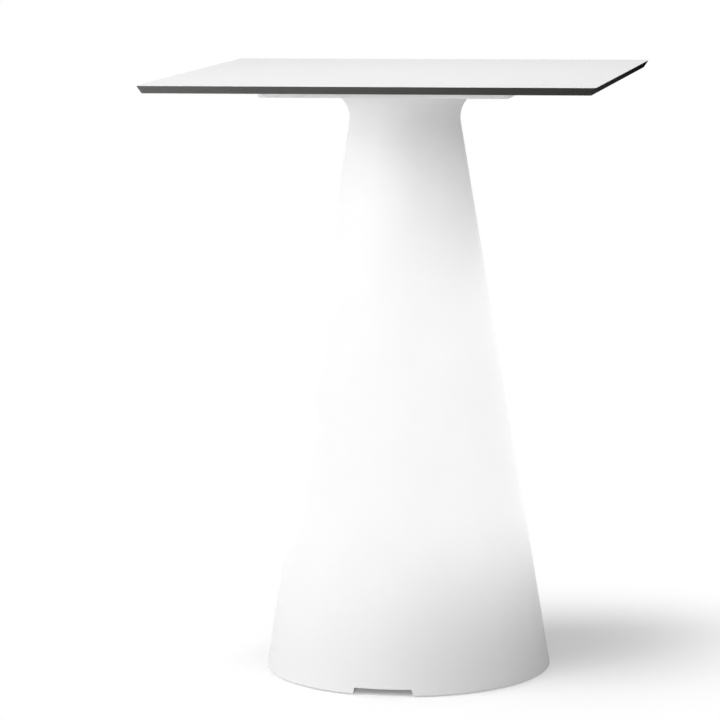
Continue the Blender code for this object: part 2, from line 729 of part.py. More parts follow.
def build_feet(finishes):
    """Four threaded bushes in the disc, and in each a stud that ends in a swivelling pad."""
    bush_low = DISC_HEIGHT - BUSH_DROP
    bore = STUD_THREAD_RADIUS + BUSH_FIT
    section = [
        (bore, DISC_TOP),
        (BUSH_SPIGOT_RADIUS, DISC_TOP),
        (BUSH_SPIGOT_RADIUS, DISC_HEIGHT - SEAT),
        (BUSH_RADIUS, DISC_HEIGHT - SEAT),
        (BUSH_RADIUS, bush_low),
        (bore, bush_low),
    ]

    def bush():
        return turned(section, SMALL_FACETS, closed=True)

    places = on_circle(FOOT_CIRCLE_RADIUS, CORNERS)
    pieces("foot_bush", bush, places, finishes["steel"])

    socket_floor = PAD_HEIGHT - PAD_SOCKET_DEPTH
    socket_radius = STUD_NECK_RADIUS + SEAT
    pad = [
        (0, socket_floor),
        (socket_radius, socket_floor),
        (socket_radius, PAD_HEIGHT),
        (PAD_RADIUS - PAD_SHOULDER, PAD_HEIGHT),
        (PAD_RADIUS, PAD_HEIGHT - PAD_SHOULDER),
        (PAD_RADIUS, PAD_EDGE),
        (PAD_RADIUS - PAD_EDGE, 0),
        (0, 0),
    ]
    hex_low, hex_high = PAD_HEIGHT + SEAT, bush_low - SEAT
    hex_middle = (hex_low + hex_high) / 2
    stud = [
        (0, DISC_TOP - THREAD_SHORTFALL),
        (STUD_THREAD_RADIUS, DISC_TOP - THREAD_SHORTFALL),
        (STUD_THREAD_RADIUS, hex_middle),
        (STUD_NECK_RADIUS, hex_middle),
        (STUD_NECK_RADIUS, socket_floor + SEAT),
        (0, socket_floor + SEAT),
    ]
    for side, place in places.items():
        origin = (*place, 0)
        piece(f"foot_pad_{side}", [moved(turned(pad, MIDDLE_FACETS), *place)], finishes["rubber"], origin)
        shank = moved(turned(stud, SMALL_FACETS), *place)
        made = piece(f"foot_stud_{side}", [shank], finishes["steel"], origin)
        nut = moved(cylinder(STUD_HEX_RADIUS, hex_low, hex_high, HEX_SIDES), *place)
        combine(made, tool(f"stud_hex_{side}", [nut]), "UNION")


def housing_profile():
    """The drum from its roof down its outer wall, round the flange with its groove, and up inside."""
    groove_start = HOUSING_RADIUS + GASKET_START
    groove_end = groove_start + GASKET_WIDTH + 2 * SEAT
    groove_floor = FLANGE_TOP - GASKET_DEPTH
    seal_low = ROOF_HIGH + SEAL_HEIGHT - SEAL_RADIUS - SEAT
    seal_high = ROOF_HIGH + SEAL_HEIGHT + SEAL_RADIUS + SEAT
    seal_floor = TUBE_INNER_RADIUS - 2 * (SEAL_RADIUS + SEAT)
    return [
        (0, ROOF_HIGH),
        (SPIGOT_RADIUS - SPIGOT_WALL, ROOF_HIGH),
        (SPIGOT_RADIUS - SPIGOT_WALL, ROOF_HIGH + SPIGOT_HEIGHT),
        (SPIGOT_RADIUS, ROOF_HIGH + SPIGOT_HEIGHT),
        (SPIGOT_RADIUS, seal_high),
        (seal_floor, seal_high),
        (seal_floor, seal_low),
        (SPIGOT_RADIUS, seal_low),
        (SPIGOT_RADIUS, ROOF_HIGH),
        (HOUSING_RADIUS, ROOF_HIGH),
        (HOUSING_RADIUS, FLANGE_TOP),
        (groove_start, FLANGE_TOP),
        (groove_start, groove_floor),
        (groove_end, groove_floor),
        (groove_end, FLANGE_TOP),
        (FLANGE_RADIUS, FLANGE_TOP),
        (FLANGE_RADIUS, FLANGE_BOTTOM),
        (HOUSING_RADIUS, FLANGE_BOTTOM),
        (HOUSING_RADIUS, HOUSING_BOTTOM),
        (DRUM_INNER_RADIUS, HOUSING_BOTTOM),
        (DRUM_INNER_RADIUS, ROOF_LOW),
        (0, ROOF_LOW),
    ]


def inlet_pad():
    """The flat pad moulded on the drum for the inlet, in the drum's front wall."""
    right = LID_HINGE_OFFSET + KNUCKLE_RADIUS + PAD_MARGIN
    width = PAD_LEFT + right
    outline = rounded_outline(width, 2 * PAD_HALF_HEIGHT, PAD_CORNER_RADIUS, EDGE_STEPS)
    root = HOUSING_RADIUS - HOUSING_WALL * PAD_ROOT_SHARE
    form = moved(extruded(outline, root, PAD_FACE), x=(right - PAD_LEFT) / 2, y=INLET_HEIGHT)
    return turned_to(form, FRONT)


def hinge_ear(low):
    """One ear that holds the lid's pin, from the pad's face out to the pin."""
    root = PAD_FACE - PAD_PROUD / 2
    outline = [(LID_HINGE_OFFSET + KNUCKLE_RADIUS, -root), (LID_HINGE_OFFSET - KNUCKLE_RADIUS, -root)]
    outline += arc((LID_HINGE_OFFSET, -HINGE_REACH), KNUCKLE_RADIUS, 180, 360, EDGE_STEPS + 1)
    return extruded(outline, low, low + EAR_HEIGHT)


def build_housing(finishes):
    """The drum with its screw towers, inlet pad and hinge ears, its gasket and its screws."""
    housing = piece("light_housing", [turned(housing_profile(), DRUM_FACETS)], finishes["housing"])

    def tower():
        return cylinder(TOWER_RADIUS, COVER_HIGH + SEAT, ROOF_LOW + ROOF_THICKNESS / 2, SMALL_FACETS)

    ear_gap = LID_ARM_HALF_HEIGHT + SEAT
    towers = on_circle(TOWER_CIRCLE, THIRDS)
    combine(housing, tool("towers", at_places(tower, towers)), "UNION")
    combine(housing, tool("inlet_mount", [inlet_pad()]), "UNION")
    ears = [hinge_ear(INLET_HEIGHT + ear_gap), hinge_ear(INLET_HEIGHT - ear_gap - EAR_HEIGHT)]
    combine(housing, tool("hinge_ears", ears), "UNION")

    def pilot():
        high = COVER_HIGH + PILOT_DEPTH
        return cylinder(COVER_SCREW_RADIUS + SEAT, COVER_HIGH - OVERRUN, high, TINY_FACETS)

    def flange_hole():
        low, high = FLANGE_BOTTOM - OVERRUN, FLANGE_TOP + OVERRUN
        return cylinder(HOUSING_SCREW_RADIUS + SEAT, low, high, SCREW_FACETS)

    def post_hole():
        return cylinder(POST_SCREW_RADIUS + SEAT, ROOF_LOW - OVERRUN, ROOF_HIGH + OVERRUN, TINY_FACETS)

    def strap_hole():
        high = ROOF_LOW + STRAP_SCREW_GRIP + SEAT
        return cylinder(STRAP_SCREW_RADIUS + SEAT, ROOF_LOW - OVERRUN, high, TINY_FACETS)

    pin_reach = ear_gap + EAR_HEIGHT + OVERRUN
    inlet_hole = cylinder(INLET_RADIUS + SEAT, INLET_BACK, BEZEL_FRONT + OVERRUN, SMALL_FACETS)
    cut = [turned_to(moved(inlet_hole, y=INLET_HEIGHT), FRONT)]
    cut += [cylinder(GROMMET_RADIUS + SEAT, ROOF_LOW - OVERRUN, ROOF_HIGH + OVERRUN, SMALL_FACETS)]
    cut += at_places(pilot, towers)
    cut += at_places(flange_hole, on_circle(HOUSING_SCREW_CIRCLE, THIRDS))
    cut += at_places(post_hole, channel_places())
    cut += at_places(strap_hole, strap_screw_places())
    pin_low, pin_high = INLET_HEIGHT - pin_reach, INLET_HEIGHT + pin_reach
    pin_hole = cylinder(HINGE_PIN_RADIUS + SEAT, pin_low, pin_high, TINY_FACETS)
    cut += [moved(pin_hole, LID_HINGE_OFFSET, -HINGE_REACH)]
    combine(housing, tool("housing_openings", cut), "DIFFERENCE")

    gasket_start = HOUSING_RADIUS + GASKET_START + SEAT
    gasket_low = FLANGE_TOP - GASKET_DEPTH + SEAT
    gasket = ring(gasket_start, gasket_start + GASKET_WIDTH, gasket_low, FLANGE_TOP, DRUM_FACETS)
    piece("housing_gasket", [gasket], finishes["rubber"])

    def fixing():
        return screw(
            HOUSING_SCREW_HEAD_RADIUS,
            HOUSING_SCREW_HEAD_HEIGHT,
            HOUSING_SCREW_RADIUS,
            FLANGE_THICKNESS + HOUSING_SCREW_GRIP,
            FLANGE_BOTTOM - SEAT,
        )

    pieces("housing_screw", fixing, on_circle(HOUSING_SCREW_CIRCLE, THIRDS), finishes["steel"])


def build_cover(finishes):
    """The service cover with its standoffs and the stakes on them, and its screws into the towers."""
    disc_radius = DRUM_INNER_RADIUS - COVER_CLEARANCE
    plate = cylinder(disc_radius, COVER_LOW, COVER_HIGH, DRUM_FACETS)
    cover = piece("service_cover", [plate], finishes["housing"])

    stake_bearing = BOARD_HIGH + SEAT
    stake = [
        (0, stake_bearing + STAKE_HEAD_HEIGHT),
        (STAKE_HEAD_RADIUS, stake_bearing + STAKE_HEAD_HEIGHT),
        (STAKE_HEAD_RADIUS, stake_bearing),
        (STAKE_RADIUS, stake_bearing),
        (STAKE_RADIUS, STANDOFF_TOP),
        (STANDOFF_RADIUS, STANDOFF_TOP),
        (STANDOFF_RADIUS, COVER_HIGH - COVER_THICKNESS / 2),
        (0, COVER_HIGH - COVER_THICKNESS / 2),
    ]

    def standoff():
        return turned(stake, TINY_FACETS)

    standoffs = at_places(standoff, on_circle(STANDOFF_CIRCLE_RADIUS, THIRDS))
    combine(cover, tool("standoffs", standoffs), "UNION")

    low, high = COVER_LOW - OVERRUN, COVER_HIGH + OVERRUN

    def screw_hole():
        return cylinder(COVER_SCREW_RADIUS + SEAT, low, high, TINY_FACETS)

    cut = at_places(screw_hole, on_circle(TOWER_CIRCLE, THIRDS))
    cut += [cylinder(BUTTON_RADIUS + SEAT, low, high, MIDDLE_FACETS)]
    cut += [moved(cylinder(INDICATOR_RADIUS + SEAT, low, high, SCREW_FACETS), x=INDICATOR_PLACE)]
    combine(cover, tool("cover_openings", cut), "DIFFERENCE")

    def fixing():
        return screw(
            COVER_SCREW_HEAD_RADIUS,
            COVER_SCREW_HEAD_HEIGHT,
            COVER_SCREW_RADIUS,
            COVER_THICKNESS + PILOT_DEPTH - OVERRUN,
            COVER_LOW - SEAT,
        )

    pieces("cover_screw", fixing, on_circle(TOWER_CIRCLE, THIRDS), finishes["steel"])


def build_controls(finishes):
    """The control board with its soldered switch and connectors, the power button and the indicator."""
    plate = cylinder(BOARD_RADIUS, BOARD_LOW, BOARD_HIGH, DRUM_FACETS)
    board = piece("control_board", [plate], finishes["board"])
    board_middle = (BOARD_LOW + BOARD_HIGH) / 2

    def connector():
        return block(CONNECTOR_WIDTH, CONNECTOR_DEPTH, board_middle, CONNECTOR_TOP)

    places = {
        "charge": (0, -CHARGE_CONNECTOR_SETBACK),
        "battery": (CONNECTOR_SPREAD, -CONNECTOR_SETBACK),
        "led": (-CONNECTOR_SPREAD, -CONNECTOR_SETBACK),
    }
    soldered = at_places(connector, places)
    soldered += [block(SWITCH_SIDE, SWITCH_SIDE, SWITCH_LOW, board_middle)]
    combine(board, tool("soldered_parts", soldered), "UNION")

    def hole():
        return cylinder(STAKE_RADIUS + SEAT, BOARD_LOW - OVERRUN, BOARD_HIGH + OVERRUN, TINY_FACETS)

    holes = at_places(hole, on_circle(STANDOFF_CIRCLE_RADIUS, THIRDS))
    combine(board, tool("board_holes", holes), "DIFFERENCE")

    collar_low = COVER_HIGH + SEAT
    button = [
        (0, SWITCH_LOW - SEAT - BUTTON_TRAVEL),
        (BUTTON_STEM_RADIUS, SWITCH_LOW - SEAT - BUTTON_TRAVEL),
        (BUTTON_STEM_RADIUS, collar_low + BUTTON_COLLAR_THICKNESS),
        (BUTTON_COLLAR_RADIUS, collar_low + BUTTON_COLLAR_THICKNESS),
        (BUTTON_COLLAR_RADIUS, collar_low),
        (BUTTON_RADIUS, collar_low),
        (BUTTON_RADIUS, COVER_LOW),
        (BUTTON_RADIUS - BUTTON_PROUD, COVER_LOW - BUTTON_PROUD),
        (0, COVER_LOW - BUTTON_PROUD),
    ]
    piece("power_button", [turned(button, MIDDLE_FACETS)], finishes["button"])

    indicator = [
        (0, BOARD_LOW - SEAT),
        (INDICATOR_RADIUS, BOARD_LOW - SEAT),
        (INDICATOR_RADIUS, collar_low + INDICATOR_COLLAR_THICKNESS),
        (INDICATOR_COLLAR_RADIUS, collar_low + INDICATOR_COLLAR_THICKNESS),
        (INDICATOR_COLLAR_RADIUS, collar_low),
        (INDICATOR_RADIUS, collar_low),
        (INDICATOR_RADIUS, COVER_LOW),
        (0, COVER_LOW),
    ]
    piece("indicator_lens", [moved(turned(indicator, SCREW_FACETS), x=INDICATOR_PLACE)], finishes["lens"])


def build_inlet(finishes):
    """The charging inlet in its pad, its nut, its hinged lid and the lead to the board."""
    profile = [
        (0, INLET_BACK),
        (INLET_RADIUS, INLET_BACK),
        (INLET_RADIUS, BEZEL_BACK),
        (INLET_BEZEL_RADIUS, BEZEL_BACK),
        (INLET_BEZEL_RADIUS, BEZEL_FRONT),
        (INLET_BORE_RADIUS, BEZEL_FRONT),
        (INLET_BORE_RADIUS, BEZEL_FRONT - INLET_BORE_DEPTH),
        (INLET_PIN_RADIUS, BEZEL_FRONT - INLET_BORE_DEPTH),
        (INLET_PIN_RADIUS, BEZEL_FRONT - INLET_PIN_RECESS),
        (0, BEZEL_FRONT - INLET_PIN_RECESS),
    ]
    inlet = moved(turned(profile, SMALL_FACETS), y=INLET_HEIGHT)
    piece("charge_inlet", [turned_to(inlet, FRONT)], finishes["nylon"])

    nut_front = math.sqrt(DRUM_INNER_RADIUS**2 - NUT_RADIUS**2) - SEAT
    nut_back = nut_front - NUT_THICKNESS
    nut = piece(
        "inlet_nut",
        [turned_to(moved(cylinder(NUT_RADIUS, nut_back, nut_front, HEX_SIDES), y=INLET_HEIGHT), FRONT)],
        finishes["nut"],
    )
    nut_bore = cylinder(INLET_RADIUS + SEAT, nut_back - OVERRUN, nut_front + OVERRUN, SMALL_FACETS)
    combine(nut, tool("nut_bore", [turned_to(moved(nut_bore, y=INLET_HEIGHT), FRONT)]), "DIFFERENCE")

    hinge = (LID_HINGE_OFFSET, -HINGE_REACH, INLET_HEIGHT)
    neck = math.degrees(math.asin(LID_ARM_HALF_HEIGHT / LID_RADIUS))
    outline = [(LID_HINGE_OFFSET, -LID_ARM_HALF_HEIGHT), (LID_HINGE_OFFSET, LID_ARM_HALF_HEIGHT)]
    outline += arc((0, 0), LID_RADIUS, neck, 360 - neck, MIDDLE_FACETS)
    plate = moved(extruded(outline, LID_BACK, LID_BACK + LID_THICKNESS), y=INLET_HEIGHT)
    lid = piece("inlet_lid", [turned_to(plate, FRONT)], finishes["lid"], hinge)

    low, high = INLET_HEIGHT - LID_ARM_HALF_HEIGHT, INLET_HEIGHT + LID_ARM_HALF_HEIGHT
    knuckle = moved(cylinder(KNUCKLE_RADIUS, low, high, SMALL_FACETS), LID_HINGE_OFFSET, -HINGE_REACH)
    combine(lid, tool("lid_knuckle", [knuckle]), "UNION")
    bore = cylinder(HINGE_PIN_RADIUS + SEAT, low - OVERRUN, high + OVERRUN, TINY_FACETS)
    combine(lid, tool("lid_bore", [moved(bore, LID_HINGE_OFFSET, -HINGE_REACH)]), "DIFFERENCE")

    reach = LID_ARM_HALF_HEIGHT + SEAT + EAR_HEIGHT + HINGE_PIN_PROUD
    pin = cylinder(HINGE_PIN_RADIUS, INLET_HEIGHT - reach, INLET_HEIGHT + reach, TINY_FACETS)
    piece("lid_pin", [moved(pin, LID_HINGE_OFFSET, -HINGE_REACH)], finishes["steel"])

    height = BOARD_HIGH + 2 * SEAT + LEAD_RADIUS
    start = (0, -INLET_BACK + SEAT, height)
    end = (0, -CHARGE_CONNECTOR_SETBACK - CONNECTOR_DEPTH / 2 - SEAT, height)
    lead("charge_lead", start, (0, 1, 0), [], end, (0, 1, 0), finishes["lead"])


def strap_screw_places():
    """The middle of each of the strap's feet."""
    reach = PACK_WIDTH / 2 + SEAT + STRAP_THICKNESS + STRAP_FOOT / 2
    return {"left": (-reach, PACK_MIDDLE), "right": (reach, PACK_MIDDLE)}


def build_battery(finishes):
    """The pack, the strap that hangs it under the roof and the lead to the board."""
    def layer(inward):
        width, depth = PACK_WIDTH - 2 * inward, PACK_DEPTH - 2 * inward
        return rounded_outline(width, depth, PACK_CORNER_RADIUS - inward, EDGE_STEPS)

    sections = [
        (layer(PACK_EDGE), PACK_LOW),
        (layer(0), PACK_LOW + PACK_EDGE),
        (layer(0), PACK_HIGH - PACK_EDGE),
        (layer(PACK_EDGE), PACK_HIGH),
    ]
    piece("battery_pack", [moved(lofted(sections), y=PACK_MIDDLE)], finishes["pack"])

    inner = PACK_WIDTH / 2 + SEAT
    outer = inner + STRAP_THICKNESS
    foot_top = ROOF_LOW - SEAT
    foot_low = foot_top - STRAP_THICKNESS
    half = [
        (outer, STRAP_LOW),
        (outer, foot_low),
        (outer + STRAP_FOOT, foot_low),
        (outer + STRAP_FOOT, foot_top),
        (inner, foot_top),
        (inner, STRAP_LOW + STRAP_THICKNESS),
    ]
    outline = half + [(-x, height) for x, height in reversed(half)]
    form = turned_to(extruded(outline, -STRAP_WIDTH / 2, STRAP_WIDTH / 2), FRONT)
    strap = piece("battery_strap", [moved(form, y=PACK_MIDDLE)], finishes["steel"])

    def hole():
        return cylinder(STRAP_SCREW_RADIUS + SEAT, foot_low - OVERRUN, foot_top + OVERRUN, TINY_FACETS)

    combine(strap, tool("strap_holes", at_places(hole, strap_screw_places())), "DIFFERENCE")

    def fixing():
        return screw(
            STRAP_SCREW_HEAD_RADIUS,
            STRAP_SCREW_HEAD_HEIGHT,
            STRAP_SCREW_RADIUS,
            ROOF_LOW + STRAP_SCREW_GRIP - foot_low,
            foot_low - SEAT,
        )

    pieces("strap_screw", fixing, strap_screw_places(), finishes["steel"])

    start = (CONNECTOR_SPREAD, PACK_SETBACK - SEAT, CONNECTOR_TOP + 2 * LEAD_BEND)
    end = (CONNECTOR_SPREAD, -CONNECTOR_SETBACK, CONNECTOR_TOP + SEAT)
    lead("battery_lead", start, (0, -1, 0), [], end, (0, 0, -1), finishes["lead"])


def channel_places():
    """The two screw channels in the post."""
    return {"left": (-POST_CHANNEL_SPREAD, 0), "right": (POST_CHANNEL_SPREAD, 0)}


def post_outline():
    """A square with a stepped groove down each corner."""
    half, groove = POST_SIDE / 2, POST_GROOVE
    step = groove * POST_GROOVE_SHARE
    corner = [
        (half, half - groove - step),
        (half - groove, half - groove - step),
        (half - groove, half - groove),
        (half - groove - step, half - groove),
        (half - groove - step, half),
    ]
    points = []
    for turn in range(4):
        swing = Matrix.Rotation(math.radians(90 * turn), 2)
        points += [tuple(swing @ Vector(place)) for place in corner]
    return points


def build_column(finishes):
    """The grooved post, its four LED boards with their chips, and the board that links them."""
    post = piece("led_post", [extruded(post_outline(), POST_LOW, POST_HIGH)], finishes["aluminium"])
    low, high = POST_LOW - OVERRUN, POST_HIGH + OVERRUN

    def channel():
        return cylinder(POST_CHANNEL_RADIUS, low, high, TINY_FACETS)

    bores = [cylinder(POST_BORE_RADIUS, low, high, SMALL_FACETS)] + at_places(channel, channel_places())
    combine(post, tool("post_bores", bores), "DIFFERENCE")

    def fixing():
        return screw(
            POST_SCREW_HEAD_RADIUS,
            POST_SCREW_HEAD_HEIGHT,
            POST_SCREW_RADIUS,
            ROOF_THICKNESS + POST_SCREW_GRIP,
            ROOF_LOW - SEAT,
        )

    pieces("post_screw", fixing, channel_places(), finishes["steel"])

    near = POST_SIDE / 2 + SEAT
    middle = near + LED_BOARD_THICKNESS / 2
    depth = LED_BOARD_THICKNESS / 2 + CHIP_THICKNESS
    pitch = (LED_HIGH - LED_LOW) / CHIP_COUNT
    for side, angle in SIDES.items():
        swing = Matrix.Rotation(math.radians(angle), 4, "Z")
        plate = moved(block(LED_BOARD_THICKNESS, LED_BOARD_WIDTH, LED_LOW, LINK_LOW - SEAT), x=middle)
        board = piece(f"led_board_{side}", [turned_to(plate, swing)], finishes["led_board"])
        chips = []
        for number in range(CHIP_COUNT):
            low = LED_LOW + pitch * number + (pitch - CHIP_SIDE) / 2
            chip = moved(block(depth, CHIP_SIDE, low, low + CHIP_SIDE), x=middle + depth / 2)
            chips.append(turned_to(chip, swing))
        combine(board, tool(f"chips_{side}", chips), "UNION")

    plate = cylinder(LINK_RADIUS, LINK_LOW, LINK_HIGH, MIDDLE_FACETS)
    link = piece("link_board", [plate], finishes["board"])

    def link_hole():
        return cylinder(POST_CHANNEL_RADIUS, LINK_LOW - OVERRUN, LINK_HIGH + OVERRUN, TINY_FACETS)

    combine(link, tool("link_holes", at_places(link_hole, channel_places())), "DIFFERENCE")


def build_diffuser(finishes):
    """The opal tube over the column, its seal on the housing's spigot and its screwed cap."""
    tube = ring(TUBE_INNER_RADIUS, TUBE_RADIUS, POST_LOW, TUBE_TOP, DRUM_FACETS)
    piece("diffuser_tube", [tube], finishes["opal"])

    seal_circle = TUBE_INNER_RADIUS - SEAT - SEAL_RADIUS
    section = arc((seal_circle, ROOF_HIGH + SEAL_HEIGHT), SEAL_RADIUS, 0, 360, SEAL_FACETS)[:-1]
    piece("tube_seal", [turned(section, DRUM_FACETS, closed=True)], finishes["rubber"])

    plug = CAP_LOW + CAP_PLUG_DEPTH
    profile = [
        (0, plug + CAP_THICKNESS),
        (TUBE_RADIUS, plug + CAP_THICKNESS),
        (TUBE_RADIUS, plug),
        (SPIGOT_RADIUS, plug),
        (SPIGOT_RADIUS, CAP_LOW),
        (0, CAP_LOW),
    ]
    cap = piece("diffuser_cap", [turned(profile, DRUM_FACETS)], finishes["housing"])

    def peg():
        return cylinder(CAP_PEG_RADIUS, POST_HIGH - CAP_PEG_DEPTH, CAP_LOW + OVERRUN, TINY_FACETS)

    combine(cap, tool("cap_pegs", at_places(peg, channel_places())), "UNION")


def build_column_lead(finishes):
    """The lead from the board up through the roof's grommet and the post to the link board."""
    bore = LEAD_RADIUS + SEAT
    lip_radius = GROMMET_RADIUS + GROMMET_LIP
    section = [
        (bore, ROOF_HIGH - SEAT),
        (GROMMET_RADIUS, ROOF_HIGH - SEAT),
        (GROMMET_RADIUS, ROOF_LOW - SEAT),
        (lip_radius, ROOF_LOW - SEAT),
        (lip_radius, ROOF_LOW - SEAT - GROMMET_LIP),
        (bore, ROOF_LOW - SEAT - GROMMET_LIP),
    ]
    piece("lead_grommet", [turned(section, SMALL_FACETS, closed=True)], finishes["rubber"])

    start = (-CONNECTOR_SPREAD, -CONNECTOR_SETBACK, CONNECTOR_TOP + SEAT)
    via = [
        (-CONNECTOR_SPREAD, -CONNECTOR_SETBACK, CONNECTOR_TOP + 2 * LEAD_BEND),
        (0, 0, ROOF_LOW - 2 * LEAD_BEND),
        (0, 0, ROOF_LOW - LEAD_BEND),
        (0, 0, ROOF_HIGH),
    ]
    lead("led_lead", start, (0, 0, 1), via, (0, 0, POST_HIGH), (0, 0, 1), finishes["lead"])


def make_finishes():
    return {
        "decor": material("white_laminate", (0.85, 0.85, 0.85), 0.35),
        "core": material("dark_core", (0.045, 0.045, 0.045), 0.45),
        "shell": material("white_polyethylene", (0.88, 0.88, 0.87), 0.45, glow=0.4),
        "ballast": material("coated_steel", (0.10, 0.10, 0.11), 0.5, metallic=0.3),
        "steel": material("zinc_steel", (0.60, 0.60, 0.61), 0.35, metallic=1.0),
        "nut": material("nickel_nut", (0.66, 0.63, 0.58), 0.3, metallic=1.0),
        "aluminium": material("aluminium", (0.75, 0.76, 0.77), 0.35, metallic=1.0),
        "rubber": material("black_rubber", (0.03, 0.03, 0.03), 0.8),
        "housing": material("grey_moulding", (0.30, 0.31, 0.32), 0.5),
        "nylon": material("black_nylon", (0.04, 0.04, 0.04), 0.45),
        "button": material("button_grey", (0.55, 0.56, 0.57), 0.4),
        "lid": material("lid_grey", (0.12, 0.12, 0.13), 0.55),
        "lens": material("indicator_lens", (0.10, 0.60, 0.25), 0.2, glow=1.0),
        "board": material("green_board", (0.02, 0.16, 0.08), 0.5),
        "led_board": material("white_board", (0.85, 0.85, 0.80), 0.5, glow=1.0),
        "pack": material("pack_wrap", (0.05, 0.12, 0.35), 0.35),
        "lead": material("lead_jacket", (0.02, 0.02, 0.02), 0.5),
        "opal": material("opal_acrylic", (0.92, 0.92, 0.90), 0.4, transmission=0.4),
    }


def clear_scene():
    for item in list(bpy.data.objects):
        bpy.data.objects.remove(item, do_unlink=True)


def parent_to_frame():
    """One empty at the origin carries every piece."""
    frame = bpy.data.objects.new("table_origin", None)
    bpy.context.scene.collection.objects.link(frame)
    for item in bpy.context.scene.collection.objects:
        if item != frame:
            item.parent = frame


def main():
    clear_scene()
    finishes = make_finishes()
    build_tabletop(finishes)
    build_top_screws(finishes)
    build_shell(finishes)
    build_ballast(finishes)
    build_feet(finishes)
    build_housing(finishes)
    build_cover(finishes)
    build_controls(finishes)
    build_inlet(finishes)
    build_battery(finishes)
    build_column(finishes)
    build_diffuser(finishes)
    build_column_lead(finishes)
    parent_to_frame()


main()
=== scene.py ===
"""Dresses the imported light-up LED table: finishes, finer visible forms, light, floor and camera."""

import math

import bmesh
import bpy
from mathutils import Matrix, Vector


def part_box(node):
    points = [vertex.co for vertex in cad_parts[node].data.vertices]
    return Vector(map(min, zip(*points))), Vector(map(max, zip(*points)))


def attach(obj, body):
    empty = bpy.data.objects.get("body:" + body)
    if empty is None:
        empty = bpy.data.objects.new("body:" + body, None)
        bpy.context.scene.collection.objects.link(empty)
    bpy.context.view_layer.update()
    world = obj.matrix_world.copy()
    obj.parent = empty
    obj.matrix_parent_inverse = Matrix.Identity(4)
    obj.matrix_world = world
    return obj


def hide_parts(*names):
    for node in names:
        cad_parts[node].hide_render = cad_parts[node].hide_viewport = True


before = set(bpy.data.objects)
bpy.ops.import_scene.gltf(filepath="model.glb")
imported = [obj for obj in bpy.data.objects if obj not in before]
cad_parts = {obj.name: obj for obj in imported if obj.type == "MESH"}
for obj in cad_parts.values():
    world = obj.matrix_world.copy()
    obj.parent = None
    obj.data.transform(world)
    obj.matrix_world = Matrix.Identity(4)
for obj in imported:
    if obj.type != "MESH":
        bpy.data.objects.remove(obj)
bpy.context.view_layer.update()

# Camera fitted to the photograph: a long lens, a little above the tabletop
CAMERA_PLACE = (1.1239, -6.0876, 1.4843)
CAMERA_LENS, CAMERA_SENSOR = 170.2, 36
CAMERA_PAN, CAMERA_TILT, CAMERA_ROLL = 11.2538, 81.619, -0.4795

# Soft light from round about: the side that it comes from, as the camera sees the sides, and its strength
VIEW_RIGHT = Vector((math.cos(math.radians(CAMERA_PAN)), math.sin(math.radians(CAMERA_PAN)), 0.0))
VIEW_FRONT = Vector((VIEW_RIGHT.y, -VIEW_RIGHT.x, 0.0))
WORLD_LIGHTS = {
    "front": (VIEW_FRONT, 0.295),
    "left": (-VIEW_RIGHT, 0.125),
    "back": (-VIEW_FRONT, 0.25),
}

# Square soft lamps: azimuth and elevation in degrees, distance from the aim, side, power
LAMP_AIM = Vector((0, 0, 0.3))
LAMPS = {
    "key": (205, 20, 3.0, 1.2, 35.5),
    "key_front": (242, 26, 3.2, 1.4, 17.0),
    "key_high": (226, 38, 3.2, 0.8, 11.1),
    "fill": (320, 23, 3.2, 1.4, 25.5),
    "top_light": (232, 89.9, 2.9, 0.7, 27.2),
}

FLOOR_SIDE = 120.0
FLOOR_COLOUR = 0.96
FLOOR_ROUGHNESS = 0.9
FLOOR_LIFT = 0.22  # light that the floor adds in its shadow, for the camera, mirrors and glass alone
# Where the floor keeps its shadow: centre, and the distances between which it goes over to plain white
SHADOW_ZONES = {
    "cast": ((0.24, 0.19, 0.0), 0.03, 0.63),
    "contact": ((0.0, 0.0, 0.0), 0.20, 0.37),
}
SEEN_RAYS = ("Is Camera Ray", "Is Glossy Ray", "Is Transmission Ray")

# Sizes of the shell, as in the part
HEAD_UNDERSIDE = 1.0677
HEAD_TOP = 1.0857
HEAD_SIDE = 0.450
HEAD_CORNER_RADIUS = 0.012
HEAD_EDGE_RADIUS = 0.003
SHELL_WALL = 0.006
BASE_RADIUS = 0.2627
CONE_TOP_RADIUS = 0.0921
NECK_FILLET = 0.050
FILLET_SINK = 0.0003
RIM_HEIGHT = 0.002
RIM_EDGE_RADIUS = 0.003
FOOT_RING_RADIUS = 0.2367
SHELL_FLOOR = 0.0523
FLOOR_OPENING_RADIUS = 0.170
BOSS_CIRCLE_RADIUS = 0.200
BOSS_RADIUS = 0.009
BOSS_HEIGHT = 0.010
BOSS_BORE_RADIUS = 0.0033
BOSS_BORE_DEPTH = 0.0123
NOTCH_TOP_WIDTH = 0.104
NOTCH_BOTTOM_WIDTH = 0.112
NOTCH_HEIGHT = 0.0125
CUP_SPREAD = 0.180
CUP_RADIUS = 0.016
CUP_DRAFT = 0.0015
CUP_DEPTH = 0.010
CUP_HOLE_RADIUS = 0.0033
CUT = 0.004  # how far a cutter runs past what it cuts

# Sizes of the tabletop, as in the part but for the sheets
TABLE_HEIGHT = 1.100
TOP_UNDERSIDE = 1.086
TOP_SIDE = 0.800
TOP_CORNER_RADIUS = 0.010
TOP_EDGE = 0.0002  # rounding of the decor sheet's edge
SHEET = 0.0004  # half the part's, so that the dark band is as high as in the photograph
UNDERCUT = 0.009
UNDERCUT_CORNER_RADIUS = 0.002
BACKER_SETBACK = 0.001
TAPPED_RADIUS = 0.0033
TAPPED_DEPTH = 0.0087

